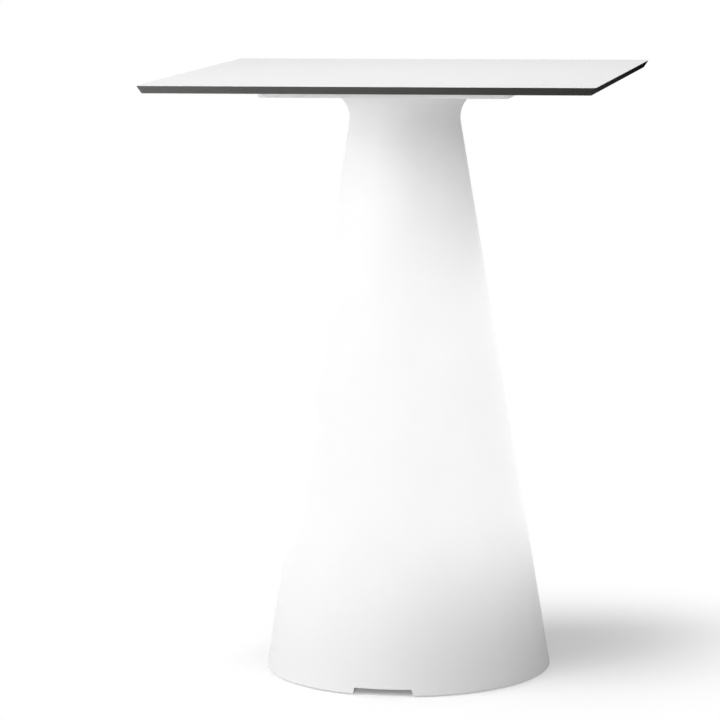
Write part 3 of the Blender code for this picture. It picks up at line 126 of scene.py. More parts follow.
# Sizes of the pieces under the base, as in the part
DISC_LOW = 0.040
DISC_TOP = 0.052
DISC_RADIUS = 0.2337
DISC_HOLE_RADIUS = 0.0745
DISC_EDGE = 0.001
FOOT_CIRCLE_RADIUS = 0.214
FOOT_HOLE_RADIUS = 0.0081
DISC_SCREW_HOLE_RADIUS = 0.0033
HOUSING_SCREW_CIRCLE = 0.087
HOUSING_HOLE_RADIUS = 0.0028
BUSH_BORE_RADIUS = 0.0053
BUSH_SPIGOT_RADIUS = 0.0078
BUSH_RADIUS = 0.0105
BUSH_SEAT = 0.0397
BUSH_LOW = 0.028
BUSH_EDGE = 0.0006
PAD_RADIUS = 0.016
PAD_TOP_RADIUS = 0.011
PAD_HEIGHT = 0.0115
PAD_FLANK_TOP = 0.0065
PAD_EDGE = 0.0015
PAD_SOCKET_RADIUS = 0.0043
PAD_SOCKET_FLOOR = 0.005
PAD_LOBES = 24
PAD_LOBE_DEPTH = 0.0005
STUD_HEX_RADIUS = 0.0081
STUD_HEX_LOW, STUD_HEX_HIGH = 0.0118, 0.0277
STUD_NECK_RADIUS = 0.004
STUD_LOW, STUD_HIGH = 0.0053, 0.051
THREAD_RADIUS = 0.005
THREAD_ROOT = 0.0041
THREAD_PITCH = 0.0015

# Sizes of the light housing, as in the part
HOUSING_RADIUS = 0.072
HOUSING_INNER = 0.069
HOUSING_LOW = 0.010
HOUSING_EDGE = 0.0008
FLANGE_LOW, FLANGE_TOP = 0.0357, 0.0397
FLANGE_RADIUS = 0.094
GROOVE_INNER, GROOVE_OUTER, GROOVE_FLOOR = 0.0765, 0.0816, 0.0375
ROOF_LOW, ROOF_HIGH = 0.1056, 0.1096
SPIGOT_INNER, SPIGOT_RADIUS, SPIGOT_TOP = 0.0288, 0.0318, 0.1196
SEAL_GROOVE, SEAL_GROOVE_LOW, SEAL_GROOVE_HIGH = 0.0301, 0.1134, 0.1158
TOWER_CIRCLE = 0.064
TOWER_RADIUS = 0.0058
TOWER_LOW = 0.0138
PILOT_RADIUS, PILOT_TOP = 0.0018, 0.0255
GROMMET_HOLE_RADIUS = 0.0039
POST_SCREW_SPREAD, STRAP_SCREW_SPREAD, STRAP_MIDDLE = 0.0085, 0.0357, 0.02675
COVER_LOW, COVER_TOP = 0.0105, 0.0135
COVER_RADIUS = 0.0685
COVER_EDGE = 0.0004
STANDOFF_CIRCLE, STANDOFF_RADIUS, STANDOFF_TOP = 0.040, 0.003, 0.0227
STAKE_RADIUS, STAKE_BEARING, STAKE_TOP, STAKE_HEAD_RADIUS = 0.0015, 0.0249, 0.0261, 0.0026

# Sizes of the button, the indicator, the inlet and its lid, as in the part
BUTTON_RADIUS, BUTTON_COLLAR_RADIUS, BUTTON_STEM_RADIUS = 0.0085, 0.010, 0.003
BUTTON_LOW, BUTTON_TOP, BUTTON_EDGE = 0.0095, 0.0177, 0.001
BUTTON_COLLAR_LOW, BUTTON_COLLAR_TOP = 0.0138, 0.015
INDICATOR_PLACE, INDICATOR_RADIUS, INDICATOR_COLLAR_RADIUS = 0.020, 0.002, 0.003
INDICATOR_LOW, INDICATOR_COLLAR_LOW, INDICATOR_COLLAR_TOP, INDICATOR_TOP = 0.0105, 0.0138, 0.0148, 0.0227
INLET_HEIGHT = 0.02285
INLET_BACK, BEZEL_BACK, BEZEL_FRONT = 0.056, 0.0748, 0.077
INLET_RADIUS, BEZEL_RADIUS, BEZEL_EDGE = 0.006, 0.0085, 0.0005
INLET_BORE_RADIUS, INLET_BORE_FLOOR = 0.0032, 0.064
INLET_PIN_RADIUS, INLET_PIN_FRONT = 0.0011, 0.0755
INLET_PAD_LEFT, INLET_PAD_RIGHT, INLET_PAD_HALF = 0.0115, 0.0145, 0.0108
INLET_PAD_ROOT, INLET_PAD_FACE, INLET_PAD_CORNER = 0.06945, 0.0745, 0.002
LID_BACK, LID_FRONT, LID_RADIUS = 0.0773, 0.0793, 0.0095
LID_ARM_HALF, LID_EDGE = 0.0028, 0.0003
HINGE_OFFSET, HINGE_REACH = 0.0125, 0.0783
KNUCKLE_RADIUS, PIN_RADIUS, PIN_HALF, PIN_HOLE_RADIUS = 0.0016, 0.0006, 0.0067, 0.0009
EAR_GAP, EAR_HEIGHT = 0.0031, 0.003

# Places of the details in the finishes, as in the part
BUTTON_RING, BUTTON_RING_HALF = 0.0055, 0.0004
BOARD_LOW, BOARD_TOP = 0.023, 0.0246
LED_LOW, LED_PITCH = 0.240, 0.040
PHOSPHOR_HALF = 0.0018
CHIP_FACE = 0.0150  # from the column's axis; the boards' own faces lie nearer
CELL_PITCH = 0.0187

# Facets of the finer forms
ROUND = 192
DRUM_ROUND = 96
CAVITY_ROUND = 64
CUP_ROUND = 48
SCREW_ROUND = 36
SMALL_ROUND = 32
CAP_ROUND = 16
FILLET_STEPS = 24
CORNER_STEPS = 8
EDGE_STEPS = 6

# Places of what stands round the axis more than once
SIDES = ((1, 0), (0, 1), (-1, 0), (0, -1))
CUP_PLACES = [(CUP_SPREAD * x, CUP_SPREAD * y) for x in (-1, 1) for y in (-1, 1)]
BOSS_PLACES = [(BOSS_CIRCLE_RADIUS * x, BOSS_CIRCLE_RADIUS * y) for x, y in SIDES]
FOOT_ANGLES = {"front_left": 225, "front_right": 315, "back_right": 45, "back_left": 135}
THIRDS = (90, 210, 330)
FOOT_PLACES = {
    corner: tuple(Matrix.Rotation(math.radians(angle), 2) @ Vector((FOOT_CIRCLE_RADIUS, 0)))
    for corner, angle in FOOT_ANGLES.items()
}
PIN_PLACE = (HINGE_OFFSET, -HINGE_REACH)

# Screws whose heads show: radius of the shank, radius and height of the head, radius and height of the
# flange, radius of the socket
SCREWS = {
    "top_screw": (0.003, 0.0055, 0.0055, 0.009, 0.0015, 0.0029),
    "ballast_screw": (0.003, 0.006, 0.0036, 0, 0, 0.0029),
    "housing_screw": (0.0025, 0.0045, 0.003, 0, 0, 0.0023),
    "cover_screw": (0.0015, 0.0028, 0.002, 0, 0, 0.0014),
}
SCREW_TIP = 0.8  # share of the shank's radius
SOCKET_DEPTH = 0.6  # share of the head's height

# Details of the pads, the studs and the hinge pin
LOBE_STEPS = 4
THREAD_SINK = 0.0003  # how far the ridge starts inside the core
RIDGE_FOOT, RIDGE_CREST = 0.45, 0.08  # half widths, as shares of the pitch
HEX_ROUNDING, HEX_CHAMFER = 0.9, 0.07  # shares of the hexagon's radius
PIN_TIP, PIN_CHAMFER = 0.7, 0.3  # shares of the pin's radius

CONE_SLOPE = (BASE_RADIUS - CONE_TOP_RADIUS) / (HEAD_UNDERSIDE - RIM_HEIGHT)
CONE_ANGLE = math.atan(CONE_SLOPE)
QUARTER_TURN = [math.radians(90) * step / EDGE_STEPS for step in range(EDGE_STEPS + 1)]

# Smoothing of the finer forms
WELD = 0.000001
SHARP_ANGLE = 35.0
FACE_WEIGHT = 100
BEVEL_ANGLE, BEVEL_SEGMENTS = 50, 2

# Where the light inside shows through the shell
GLOW_START, GLOW_FULL = 0.03, 0.33
GLOW_FADE, GLOW_END = 0.66, 1.02
GLOW_LEVEL = 0.83
GLOW_DIM, GLOW_BRIGHT = 0.97, 1.01  # how uneven the glow is
GLOW_COVER = 0.85  # how far the glow takes the place of reflected light

NOISE_LOW, NOISE_HIGH = 0.3, 0.7  # between which most of a noise lies


class Nodes:
    """Short calls that add nodes to a shader tree; a value is a number, a colour, a vector or a socket."""

    def __init__(self, tree, coordinates):
        self.tree = tree
        self.place = self.add("ShaderNodeTexCoord").outputs[coordinates]

    def add(self, kind, values=None, **settings):
        made = self.tree.nodes.new(kind)
        for name, value in settings.items():
            setattr(made, name, value)
        for name, value in (values or {}).items():
            self.feed(made.inputs[name], value)
        return made

    def feed(self, socket, value):
        if isinstance(value, bpy.types.NodeSocket):
            self.tree.links.new(value, socket)
        else:
            socket.default_value = value

    def noise(self, scale, detail=2.0, roughness=0.5, place=None):
        values = {"Vector": place or self.place, "Scale": scale, "Detail": detail, "Roughness": roughness}
        return self.add("ShaderNodeTexNoise", values).outputs["Fac"]

    def streaks(self, scales, detail=2.0, roughness=0.5):
        """Noise with another scale along each axis."""
        mapping = self.add("ShaderNodeMapping", {"Vector": self.place, "Scale": scales})
        return self.noise(1.0, detail, roughness, mapping.outputs["Vector"])

    def cells(self, scale, metric="EUCLIDEAN"):
        values = {"Vector": self.place, "Scale": scale}
        return self.add("ShaderNodeTexVoronoi", values, distance=metric).outputs["Distance"]

    def axis(self, name):
        return self.add("ShaderNodeSeparateXYZ", {"Vector": self.place}).outputs[name]

    def spread(self, source, from_low, from_high, to_low=0.0, to_high=1.0, eased=False):
        """Carries one range over to another, and holds what lies outside to its ends."""
        kind = "SMOOTHSTEP" if eased else "LINEAR"
        values = {"Value": source, "From Min": from_low, "From Max": from_high}
        values |= {"To Min": to_low, "To Max": to_high}
        return self.add("ShaderNodeMapRange", values, interpolation_type=kind).outputs["Result"]

    def math(self, operation, first, second=0.0):
        return self.add("ShaderNodeMath", {0: first, 1: second}, operation=operation).outputs["Value"]

    def mix(self, factor, first, second, kind="FLOAT"):
        values = {"Factor": factor, "A": first, "B": second}
        return self.add("ShaderNodeMix", values, data_type=kind).outputs["Result"]

    def blend(self, factor, first, second):
        """One colour or another by a factor; each is a grey level, a colour or a socket."""
        return self.mix(factor, colour(first), colour(second), "RGBA")

    def seen(self):
        """One for what the camera, mirrors and glass see, zero for the light that falls on things."""
        path = self.add("ShaderNodeLightPath")
        total = 0.0
        for ray in SEEN_RAYS:
            total = self.math("MAXIMUM", path.outputs[ray], total)
        return total


class Finish(Nodes):
    """One procedural material round a Principled shader."""

    def __init__(self, name, metallic=0.0, specular=0.5):
        self.material = bpy.data.materials.new(name)
        self.material.use_nodes = True
        super().__init__(self.material.node_tree, "Object")
        self.shader = self.tree.nodes["Principled BSDF"]
        self.put("Metallic", metallic)
        self.put("Specular IOR Level", specular)

    def put(self, socket_name, value):
        self.feed(self.shader.inputs[socket_name], value)

    def tint(self, factor, first, second):
        self.put("Base Color", self.blend(factor, first, second))

    def gloss(self, source, low, high):
        """Roughness that drifts with a noise."""
        self.put("Roughness", self.spread(source, NOISE_LOW, NOISE_HIGH, low, high))

    def bump(self, height, distance, strength, under=None):
        made = self.add("ShaderNodeBump", {"Strength": strength, "Distance": distance, "Height": height})
        if under:
            self.feed(made.inputs["Normal"], under)
        self.put("Normal", made.outputs["Normal"])
        return made.outputs["Normal"]


def colour(value):
    """A grey level or an RGB triple as RGBA; a socket as it is."""
    if isinstance(value, bpy.types.NodeSocket):
        return value
    if isinstance(value, (int, float)):
        return (value, value, value, 1.0)
    return (*value, 1.0)


def laminate_finish():
    """White decor laminate: fine pearl specks, a little uneven in gloss, with faint wiping marks."""
    made = Finish("laminate_face", specular=0.35)
    pearl = made.noise(1100.0)
    base = made.blend(made.noise(5.0, 3.0), 0.838, 0.858)
    made.tint(made.spread(pearl, 0.52, 0.70, 0.0, 0.5), base, 0.78)
    made.gloss(made.streaks((14.0, 260.0, 60.0), 4.0, 0.6), 0.40, 0.50)
    made.bump(pearl, 0.00004, 0.2)
    return made.material


def core_finish():
    """Dark compact laminate: fine pressed layers, with painted light and shade that make it paler at the
    left and darker at the right, and painted shade that darkens its right edge towards the back.
    """
    made = Finish("compact_core", specular=0.0)
    half = TOP_SIDE / 2
    layers = made.streaks((6.0, 6.0, 5200.0), 3.0, 0.65)
    # painted light and shade: both tones of the layers run from paler at the left to darker at the right
    across = made.spread(made.axis("X"), -half, half)
    darker = made.blend(across, (0.104, 0.103, 0.101), (0.030, 0.029, 0.028))
    paler = made.blend(across, (0.150, 0.148, 0.145), (0.050, 0.049, 0.047))
    pressed = made.blend(made.spread(layers, 0.35, 0.65), darker, paler)
    # painted shade: the right edge goes over to near black, more so towards the back
    side = made.spread(made.axis("X"), half - 2 * UNDERCUT, half - UNDERCUT)
    painted_shade_to_back = made.spread(made.axis("Y"), -half, half, 0.0, 0.85)
    made.tint(made.math("MULTIPLY", side, painted_shade_to_back), pressed, 0.002)
    made.gloss(layers, 0.52, 0.68)
    made.bump(made.streaks((40.0, 40.0, 9000.0)), 0.00006, 0.4)
    return made.material


def shell_finish():
    """Rotomoulded white polyethylene with a satin grain, lit from inside over the height of the column."""
    made = Finish("lit_polyethylene", specular=0.1)
    height = made.axis("Z")
    rising = made.spread(height, GLOW_START, GLOW_FULL, eased=True)
    falling = made.spread(height, GLOW_FADE, GLOW_END, 1.0, 0.0, eased=True)
    glow = made.math("MULTIPLY", rising, falling)

    cloud = made.noise(9.0, 3.0)
    plain = made.blend(cloud, 0.83, 0.85)
    made.tint(made.math("MULTIPLY", glow, GLOW_COVER), plain, 0.0)
    uneven = made.spread(cloud, 0.2, 0.8, GLOW_DIM * GLOW_LEVEL, GLOW_BRIGHT * GLOW_LEVEL)
    made.put("Emission Color", made.blend(made.math("MULTIPLY", glow, uneven), 0.0, 1.0))
    made.put("Emission Strength", 1.0)

    made.gloss(made.noise(60.0, 4.0), 0.44, 0.58)
    ripple = made.bump(made.noise(18.0), 0.0006, 0.25)
    made.bump(made.noise(850.0, 3.0, 0.6), 0.00025, 0.5, ripple)
    return made.material


def powder_finish():
    """Textured powder coat: an orange peel with paler specks, and gloss that changes in patches."""
    made = Finish("powder_coat", specular=0.4)
    patch = made.noise(7.0, 4.0, 0.6)
    base = made.blend(patch, (0.044, 0.045, 0.048), (0.062, 0.063, 0.067))
    made.tint(made.spread(made.noise(520.0), 0.56, 0.72), base, (0.095, 0.096, 0.10))
    made.gloss(patch, 0.46, 0.62)
    made.bump(made.cells(620.0), 0.00016, 0.55)
    return made.material


def plated_finish(name, pale, tinted, roughness):
    """Plating over turned stock: small crystals, a tint that drifts and faint lathe rings."""
    made = Finish(name, metallic=1.0)
    crystal = made.cells(1500.0)
    base = made.blend(made.spread(made.noise(110.0, 3.0), 0.35, 0.65), pale, tinted)
    darker = [0.72 * level for level in tinted]
    made.tint(made.spread(crystal, 0.1, 0.7, 0.0, 0.5), base, darker)
    made.put("Roughness", made.spread(crystal, 0.0, 0.7, roughness - 0.07, roughness + 0.09))
    made.bump(made.streaks((60.0, 60.0, 5600.0)), 0.00005, 0.4)
    return made.material


def aluminium_finish():
    """Extruded aluminium with die lines along its length."""
    made = Finish("drawn_aluminium", metallic=1.0)
    lines = made.streaks((2600.0, 2600.0, 9.0), 4.0, 0.6)
    made.tint(lines, (0.66, 0.67, 0.68), (0.80, 0.81, 0.82))
    made.gloss(lines, 0.26, 0.44)
    made.bump(lines, 0.00006, 0.5)
    return made.material


def rubber_finish(name, tone, pale, roughness):
    """Moulded rubber: matt and finely pitted, with a pale bloom in places."""
    made = Finish(name, specular=0.35)
    bloom = made.spread(made.noise(140.0, 4.0, 0.65), 0.5, 0.78)
    made.tint(bloom, tone, pale)
    made.put("Roughness", made.spread(bloom, 0.0, 1.0, roughness - 0.06, roughness + 0.08))
    made.bump(made.cells(2300.0), 0.00007, 0.5)
    return made.material


def moulded_finish(name, tone, roughness, grain=1700.0, depth=0.00009):
    """Injection moulding with a spark-eroded grain, faint flow marks and gloss where it is handled."""
    made = Finish(name)
    flow = made.streaks((26.0, 70.0, 26.0), 3.0, 0.55)
    darker = [0.84 * level for level in tone]
    made.tint(made.spread(flow, NOISE_LOW, NOISE_HIGH), darker, tone)
    made.gloss(made.noise(34.0, 3.0, 0.6), roughness - 0.08, roughness + 0.07)
    eroded = made.bump(made.cells(grain), depth, 0.5)
    made.bump(made.noise(2.4 * grain), depth / 3, 0.4, eroded)
    return made.material


def button_finish():
    """The button's soft grey moulding, with a darker ring moulded round its face."""
    made = Finish("button_grey")
    x, y = made.axis("X"), made.axis("Y")
    reach = made.math("SQRT", made.math("ADD", made.math("MULTIPLY", x, x), made.math("MULTIPLY", y, y)))
    off = made.math("ABSOLUTE", made.math("SUBTRACT", reach, BUTTON_RING))
    ring = made.spread(off, BUTTON_RING_HALF, 1.4 * BUTTON_RING_HALF, 1.0, 0.0, eased=True)
    grain = made.noise(1900.0, 3.0, 0.6)
    base = made.blend(made.noise(120.0, 3.0), (0.46, 0.47, 0.48), (0.54, 0.55, 0.56))
    made.tint(ring, base, (0.16, 0.165, 0.17))
    made.gloss(grain, 0.38, 0.54)
    sunk = made.bump(made.math("MULTIPLY", ring, -1.0), 0.0002, 0.8)
    made.bump(grain, 0.00005, 0.4, sunk)
    return made.material


def lens_finish():
    """The indicator's green light guide, uneven like moulded acrylic, with its small light behind it."""
    made = Finish("indicator_lens")
    swirl = made.noise(700.0, 3.0, 0.6)
    made.put("Transmission Weight", 0.3)
    made.tint(swirl, (0.05, 0.42, 0.16), (0.10, 0.62, 0.26))
    made.put("Emission Color", made.blend(swirl, (0.03, 0.50, 0.16), (0.10, 0.85, 0.34)))
    made.put("Emission Strength", 0.5)
    made.gloss(swirl, 0.12, 0.26)
    made.bump(swirl, 0.00003, 0.4)
    return made.material


def circuit_finish():
    """Green solder mask over copper tracks; cream connectors above the board, a black switch below it."""
    made = Finish("green_board")
    along_x, along_y = (
        made.add("ShaderNodeTexWave", {"Vector": made.place, "Scale": 130.0}, bands_direction=way)
        for way in "XY"
    )
    which = made.math("GREATER_THAN", made.noise(90.0, 0.0), 0.5)
    bands = made.mix(which, along_x.outputs["Fac"], along_y.outputs["Fac"])
    tracks = made.spread(bands, 0.55, 0.65)
    pads = made.math("LESS_THAN", made.cells(170.0, "MANHATTAN"), 0.16)
    mask = made.blend(tracks, (0.010, 0.090, 0.040), (0.030, 0.200, 0.090))
    mask = made.blend(pads, mask, (0.62, 0.55, 0.38))
    height = made.axis("Z")
    over_board = made.math("GREATER_THAN", height, BOARD_TOP)
    in_drum = made.math("LESS_THAN", height, ROOF_LOW)
    mask = made.blend(made.math("MULTIPLY", over_board, in_drum), mask, (0.72, 0.68, 0.56))
    made.tint(made.math("LESS_THAN", height, BOARD_LOW), mask, (0.02, 0.02, 0.021))
    made.gloss(made.noise(300.0, 3.0), 0.30, 0.46)
    made.bump(tracks, 0.00004, 0.6)
    return made.material


def led_board_finish():
    """White solder mask; the chips that stand out of it have yellow phosphor in white frames."""
    made = Finish("white_board")
    x, y = made.math("ABSOLUTE", made.axis("X")), made.math("ABSOLUTE", made.axis("Y"))
    outward, across = made.math("MAXIMUM", x, y), made.math("MINIMUM", x, y)
    count = made.math("DIVIDE", made.math("SUBTRACT", made.axis("Z"), LED_LOW), LED_PITCH)
    off = made.math("ABSOLUTE", made.math("SUBTRACT", made.math("FRACT", count), 0.5))
    reach = made.math("MAXIMUM", across, made.math("MULTIPLY", off, LED_PITCH))
    near = made.math("LESS_THAN", reach, PHOSPHOR_HALF)
    lit = made.math("MULTIPLY", near, made.math("GREATER_THAN", outward, CHIP_FACE))
    clouds = made.noise(260.0, 3.0)
    base = made.blend(clouds, (0.74, 0.74, 0.70), (0.84, 0.84, 0.80))
    phosphor = made.blend(clouds, (0.80, 0.62, 0.12), (0.88, 0.72, 0.20))
    made.tint(lit, base, phosphor)
    made.gloss(clouds, 0.34, 0.52)
    made.bump(made.noise(1400.0), 0.00003, 0.5)
    return made.material


def wrap_finish():
    """Blue shrink wrap drawn tight over three round cells, with fine creases."""
    made = Finish("pack_wrap")
    bulge = made.math("COSINE", made.math("MULTIPLY", made.axis("X"), math.tau / CELL_PITCH))
    creases = made.streaks((420.0, 420.0, 60.0), 4.0, 0.65)
    made.tint(creases, (0.028, 0.075, 0.26), (0.045, 0.12, 0.38))
    made.gloss(creases, 0.22, 0.40)
    tight = made.bump(bulge, 0.0015, 0.6)
    made.bump(creases, 0.00025, 0.5, tight)
    return made.material


def jacket_finish():
    """Black flexible jacket of a lead: slightly waxy, with faint bands where its cores twist."""
    made = Finish("lead_jacket", specular=0.4)
    twist = made.streaks((300.0, 300.0, 700.0))
    made.tint(twist, 0.016, 0.028)
    made.gloss(twist, 0.42, 0.58)
    made.bump(twist, 0.00008, 0.5)
    return made.material


def opal_finish():
    """Extruded opal acrylic: milky, a little clear, with soft lines along the tube."""
    made = Finish("opal_acrylic")
    made.put("Transmission Weight", 0.2)
    lines = made.streaks((420.0, 420.0, 4.0), 3.0)
    made.tint(lines, (0.86, 0.86, 0.84), (0.92, 0.92, 0.90))
    made.gloss(lines, 0.22, 0.38)
    made.bump(lines, 0.00008, 0.4)
    return made.material


FINISHES = {
    "white_laminate": laminate_finish(),
    "dark_core": core_finish(),
    "white_polyethylene": shell_finish(),
    "coated_steel": powder_finish(),
    "zinc_steel": plated_finish("zinc_plate", (0.66, 0.66, 0.67), (0.58, 0.60, 0.64), 0.32),
    "nickel_nut": plated_finish("nickel_plate", (0.68, 0.65, 0.60), (0.60, 0.56, 0.50), 0.26),
    "aluminium": aluminium_finish(),
    "black_rubber": rubber_finish("black_rubber", (0.022, 0.022, 0.023), (0.045, 0.045, 0.044), 0.78),
    "grey_moulding": moulded_finish("grey_moulding", (0.26, 0.27, 0.28), 0.5),
    "black_nylon": moulded_finish("black_nylon", (0.03, 0.03, 0.031), 0.42, grain=2400.0, depth=0.00005),
    "button_grey": button_finish(),
    "lid_grey": rubber_finish("lid_rubber", (0.085, 0.086, 0.092), (0.13, 0.13, 0.135), 0.62),
    "indicator_lens": lens_finish(),
    "green_board": circuit_finish(),
    "white_board": led_board_finish(),
    "pack_wrap": wrap_finish(),
    "lead_jacket": jacket_finish(),
    "opal_acrylic": opal_finish(),
}


def arc(centre, radius, start, end, steps=EDGE_STEPS):
    """Points along an arc, from one angle in degrees to another."""
    points = []
    for step in range(steps + 1):
        angle = math.radians(start + (end - start) * step / steps)
        points.append((centre[0] + radius * math.cos(angle), centre[1] + radius * math.sin(angle)))
    return points


def upper_edge(radius, high, edge):
    """Points round an upper outer edge, from the top to the side."""
    return arc((radius - edge, high - edge), edge, 90, 0)


def lower_edge(radius, low, edge):
    """Points round a lower outer edge, from the side to the underside."""
    return arc((radius - edge, low + edge), edge, 0, -90)


def circle(radius, count=SCREW_ROUND):
    return arc((0, 0), radius, 0, 360, count)[:-1]


def hexagon(radius):
    """A hexagon with as many points as a screw's circles, so that it can follow one in a loft."""
    points = []
    for step in range(SCREW_ROUND):
        angle = math.tau * step / SCREW_ROUND
        off = angle % math.radians(60) - math.radians(30)
        reach = radius * math.cos(math.radians(30)) / math.cos(off)
        points.append((reach * math.cos(angle), reach * math.sin(angle)))
    return points


def held_in(outline, radius):
    """An outline cut off by a circle."""
    shares = [min(1, radius / math.hypot(x, y)) for x, y in outline]
    return [(x * share, y * share) for (x, y), share in zip(outline, shares)]


def on_circle(radius, angles):
    turns = [math.radians(angle) for angle in angles]
    return [(radius * math.cos(turn), radius * math.sin(turn)) for turn in turns]


def rounded_square(side, radius):
    half = side / 2
    return rounded_rectangle(half, half, half, radius)


def rounded_rectangle(left, right, half_height, radius):
    points = []
    for turn, (x, y) in enumerate(((right, 1), (-left, 1), (-left, -1), (right, -1))):
        centre = (x - math.copysign(radius, x), y * (half_height - radius))
        points += arc(centre, radius, 90 * turn, 90 * turn + 90, CORNER_STEPS)
    return points


def faced_outwards(form):
    bmesh.ops.recalc_face_normals(form, faces=form.faces)
    if form.calc_volume(signed=True) < 0:
        bmesh.ops.reverse_faces(form, faces=form.faces)
    return form


def turned(profile, facets, closed=False):
    """A form turned about Z from (radius, height) points."""
    form = bmesh.new()
    corners = [form.verts.new((radius, 0, height)) for radius, height in profile]
    pairs = list(zip(corners, corners[1:]))
    if closed:
        pairs.append((corners[-1], corners[0]))
    parts = corners + [form.edges.new(pair) for pair in pairs]
    bmesh.ops.spin(
        form, geom=parts, cent=(0, 0, 0), axis=(0, 0, 1), angle=math.tau, steps=facets, use_merge=True
    )
    bmesh.ops.remove_doubles(form, verts=form.verts, dist=WELD)
    return faced_outwards(form)


def lofted(sections):
    """A closed form through outlines of one point count, given as (outline, height) from one end."""
    form = bmesh.new()
    rings = []
    for outline, height in sections:
        rings.append([form.verts.new((x, y, height)) for x, y in outline])
    for ring, following in zip(rings, rings[1:]):
        pairs = list(zip(ring, following))
        for (near, far), (next_near, next_far) in zip(pairs, pairs[1:] + pairs[:1]):
            form.faces.new((near, next_near, next_far, far))
    form.faces.new(rings[0])
    form.faces.new(rings[-1])
    return faced_outwards(form)


def stepped(*levels):
    """Points of a square-stepped profile, from its radii and heights by turns, a radius first."""
    points = []
    for place, pair in enumerate(zip(levels, levels[1:])):
        points.append(pair[::-1] if place % 2 else pair)
    return points


def cylinder(radius, low, high, facets):
    return turned(stepped(0, high, radius, low, 0), facets)


def bores(radius, low, high, places, facets=SMALL_ROUND):
    return [moved(cylinder(radius, low, high, facets), *place) for place in places]


def moved(form, x=0, y=0, z=0):
    bmesh.ops.translate(form, verts=form.verts, vec=(x, y, z))
    return form


def facing_front(form):
    """Turns a form built upright so that its own +Z points to the front, with its +Y up."""
    bmesh.ops.transform(form, matrix=Matrix.Rotation(math.radians(90), 4, "X"), verts=form.verts)
    return form


def placed(name, data):
    """A new object in the scene."""
    made = bpy.data.objects.new(name, data)
    bpy.context.scene.collection.objects.link(made)
    return made


def solid(name, forms):
    """One object of separate forms, in the scene."""
    whole = bmesh.new()
    for form in forms:
        scratch = bpy.data.meshes.new(name)
        form.to_mesh(scratch)
        form.free()
        whole.from_mesh(scratch)
        bpy.data.meshes.remove(scratch)
    mesh = bpy.data.meshes.new(name)
    whole.to_mesh(mesh)
    whole.free()
    return placed(name, mesh)


def baked(target):
    """Applies the object's modifiers."""
    bpy.context.view_layer.update()
    result = bpy.data.meshes.new_from_object(target.evaluated_get(bpy.context.evaluated_depsgraph_get()))
    target.modifiers.clear()
    target.data = result


def combine(target, other, operation):
    """Joins or cuts with the other object, which is then gone."""
    step = target.modifiers.new(other.name, "BOOLEAN")
    step.operation = operation
    step.solver = "EXACT"
    step.object = other
    baked(target)
    bpy.data.objects.remove(other)


def join(target, forms):
    combine(target, solid("addition", forms), "UNION")


def cut(target, forms):
    combine(target, solid("cutter", forms), "DIFFERENCE")


def soften(target, width):
    """Small rounded edges all over a piece."""
    step = target.modifiers.new("edges", "BEVEL")
    step.width = width
    step.segments = BEVEL_SEGMENTS
    step.limit_method = "ANGLE"
    step.angle_limit = math.radians(BEVEL_ANGLE)
    baked(target)


def smooth(target):
    """Smooth shading with sharp edges kept, and flat faces that stay flat beside rounded ones."""
    target.data.shade_smooth()
    target.data.set_sharp_from_angle(angle=math.radians(SHARP_ANGLE))
    step = target.modifiers.new("face_weights", "WEIGHTED_NORMAL")
    step.keep_sharp = True
    step.weight = FACE_WEIGHT
    baked(target)


def stand_in(target, node, body="table"):
    """Smooths a finer piece and puts it in the place of a CAD node, with that node's finish."""
    smooth(target)
    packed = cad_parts[node]
    slot_name = packed.material_slots[0].material.name.split(".")[0]
    target.data.materials.clear()
    target.data.materials.append(FINISHES[slot_name])
    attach(target, body)
    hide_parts(node)


def cone_radius(height):
    return CONE_TOP_RADIUS + CONE_SLOPE * (HEAD_UNDERSIDE - height)


def bell_profile(inset):
    """The shell's outside at inset zero, or its cavity at the wall's thickness, down to its floor."""
    fillet_height = HEAD_UNDERSIDE + FILLET_SINK - NECK_FILLET
    touch_height = fillet_height - NECK_FILLET * math.sin(CONE_ANGLE)
    fillet_centre = (cone_radius(touch_height) + NECK_FILLET * math.cos(CONE_ANGLE), fillet_height)
    tilt = math.degrees(CONE_ANGLE)
    middle = (HEAD_TOP + HEAD_UNDERSIDE) / 2
    points = [(0, middle), (fillet_centre[0], middle)]
    points += arc(fillet_centre, NECK_FILLET + inset, 90, 180 + tilt, FILLET_STEPS)
    ring_inner = FOOT_RING_RADIUS + inset
    if inset:
        low = RIM_HEIGHT + inset
        points += [(cone_radius(low) - inset / math.cos(CONE_ANGLE), low), (ring_inner, low)]
    else:
        low = RIM_HEIGHT + RIM_EDGE_RADIUS
        outer_centre = (cone_radius(low) - RIM_EDGE_RADIUS / math.cos(CONE_ANGLE), low)
        inner_centre = (ring_inner + RIM_EDGE_RADIUS, low)
        points += arc(outer_centre, RIM_EDGE_RADIUS, tilt, -90)
        points += arc(inner_centre, RIM_EDGE_RADIUS, -90, -180)
    return points + [(ring_inner, SHELL_FLOOR + inset), (0, SHELL_FLOOR + inset)]


def head_form(inset):
    """The square head's outside at inset zero, or its cavity at the wall's thickness."""
    low, high = HEAD_UNDERSIDE + inset, HEAD_TOP - inset
    edge = max(HEAD_EDGE_RADIUS - inset, 0.0)
    turns = QUARTER_TURN if edge else [0.0]
    rounding = [(edge - edge * math.cos(turn), edge - edge * math.sin(turn)) for turn in turns]
    layers = [(inward, low + rise) for inward, rise in reversed(rounding)]
    layers += [(inward, high - rise) for inward, rise in rounding]
    side, corner = HEAD_SIDE - 2 * inset, HEAD_CORNER_RADIUS - inset
    sections = []
    for inward, height in layers:
        sections.append((rounded_square(side - 2 * inward, corner - inward), height))
    return lofted(sections)


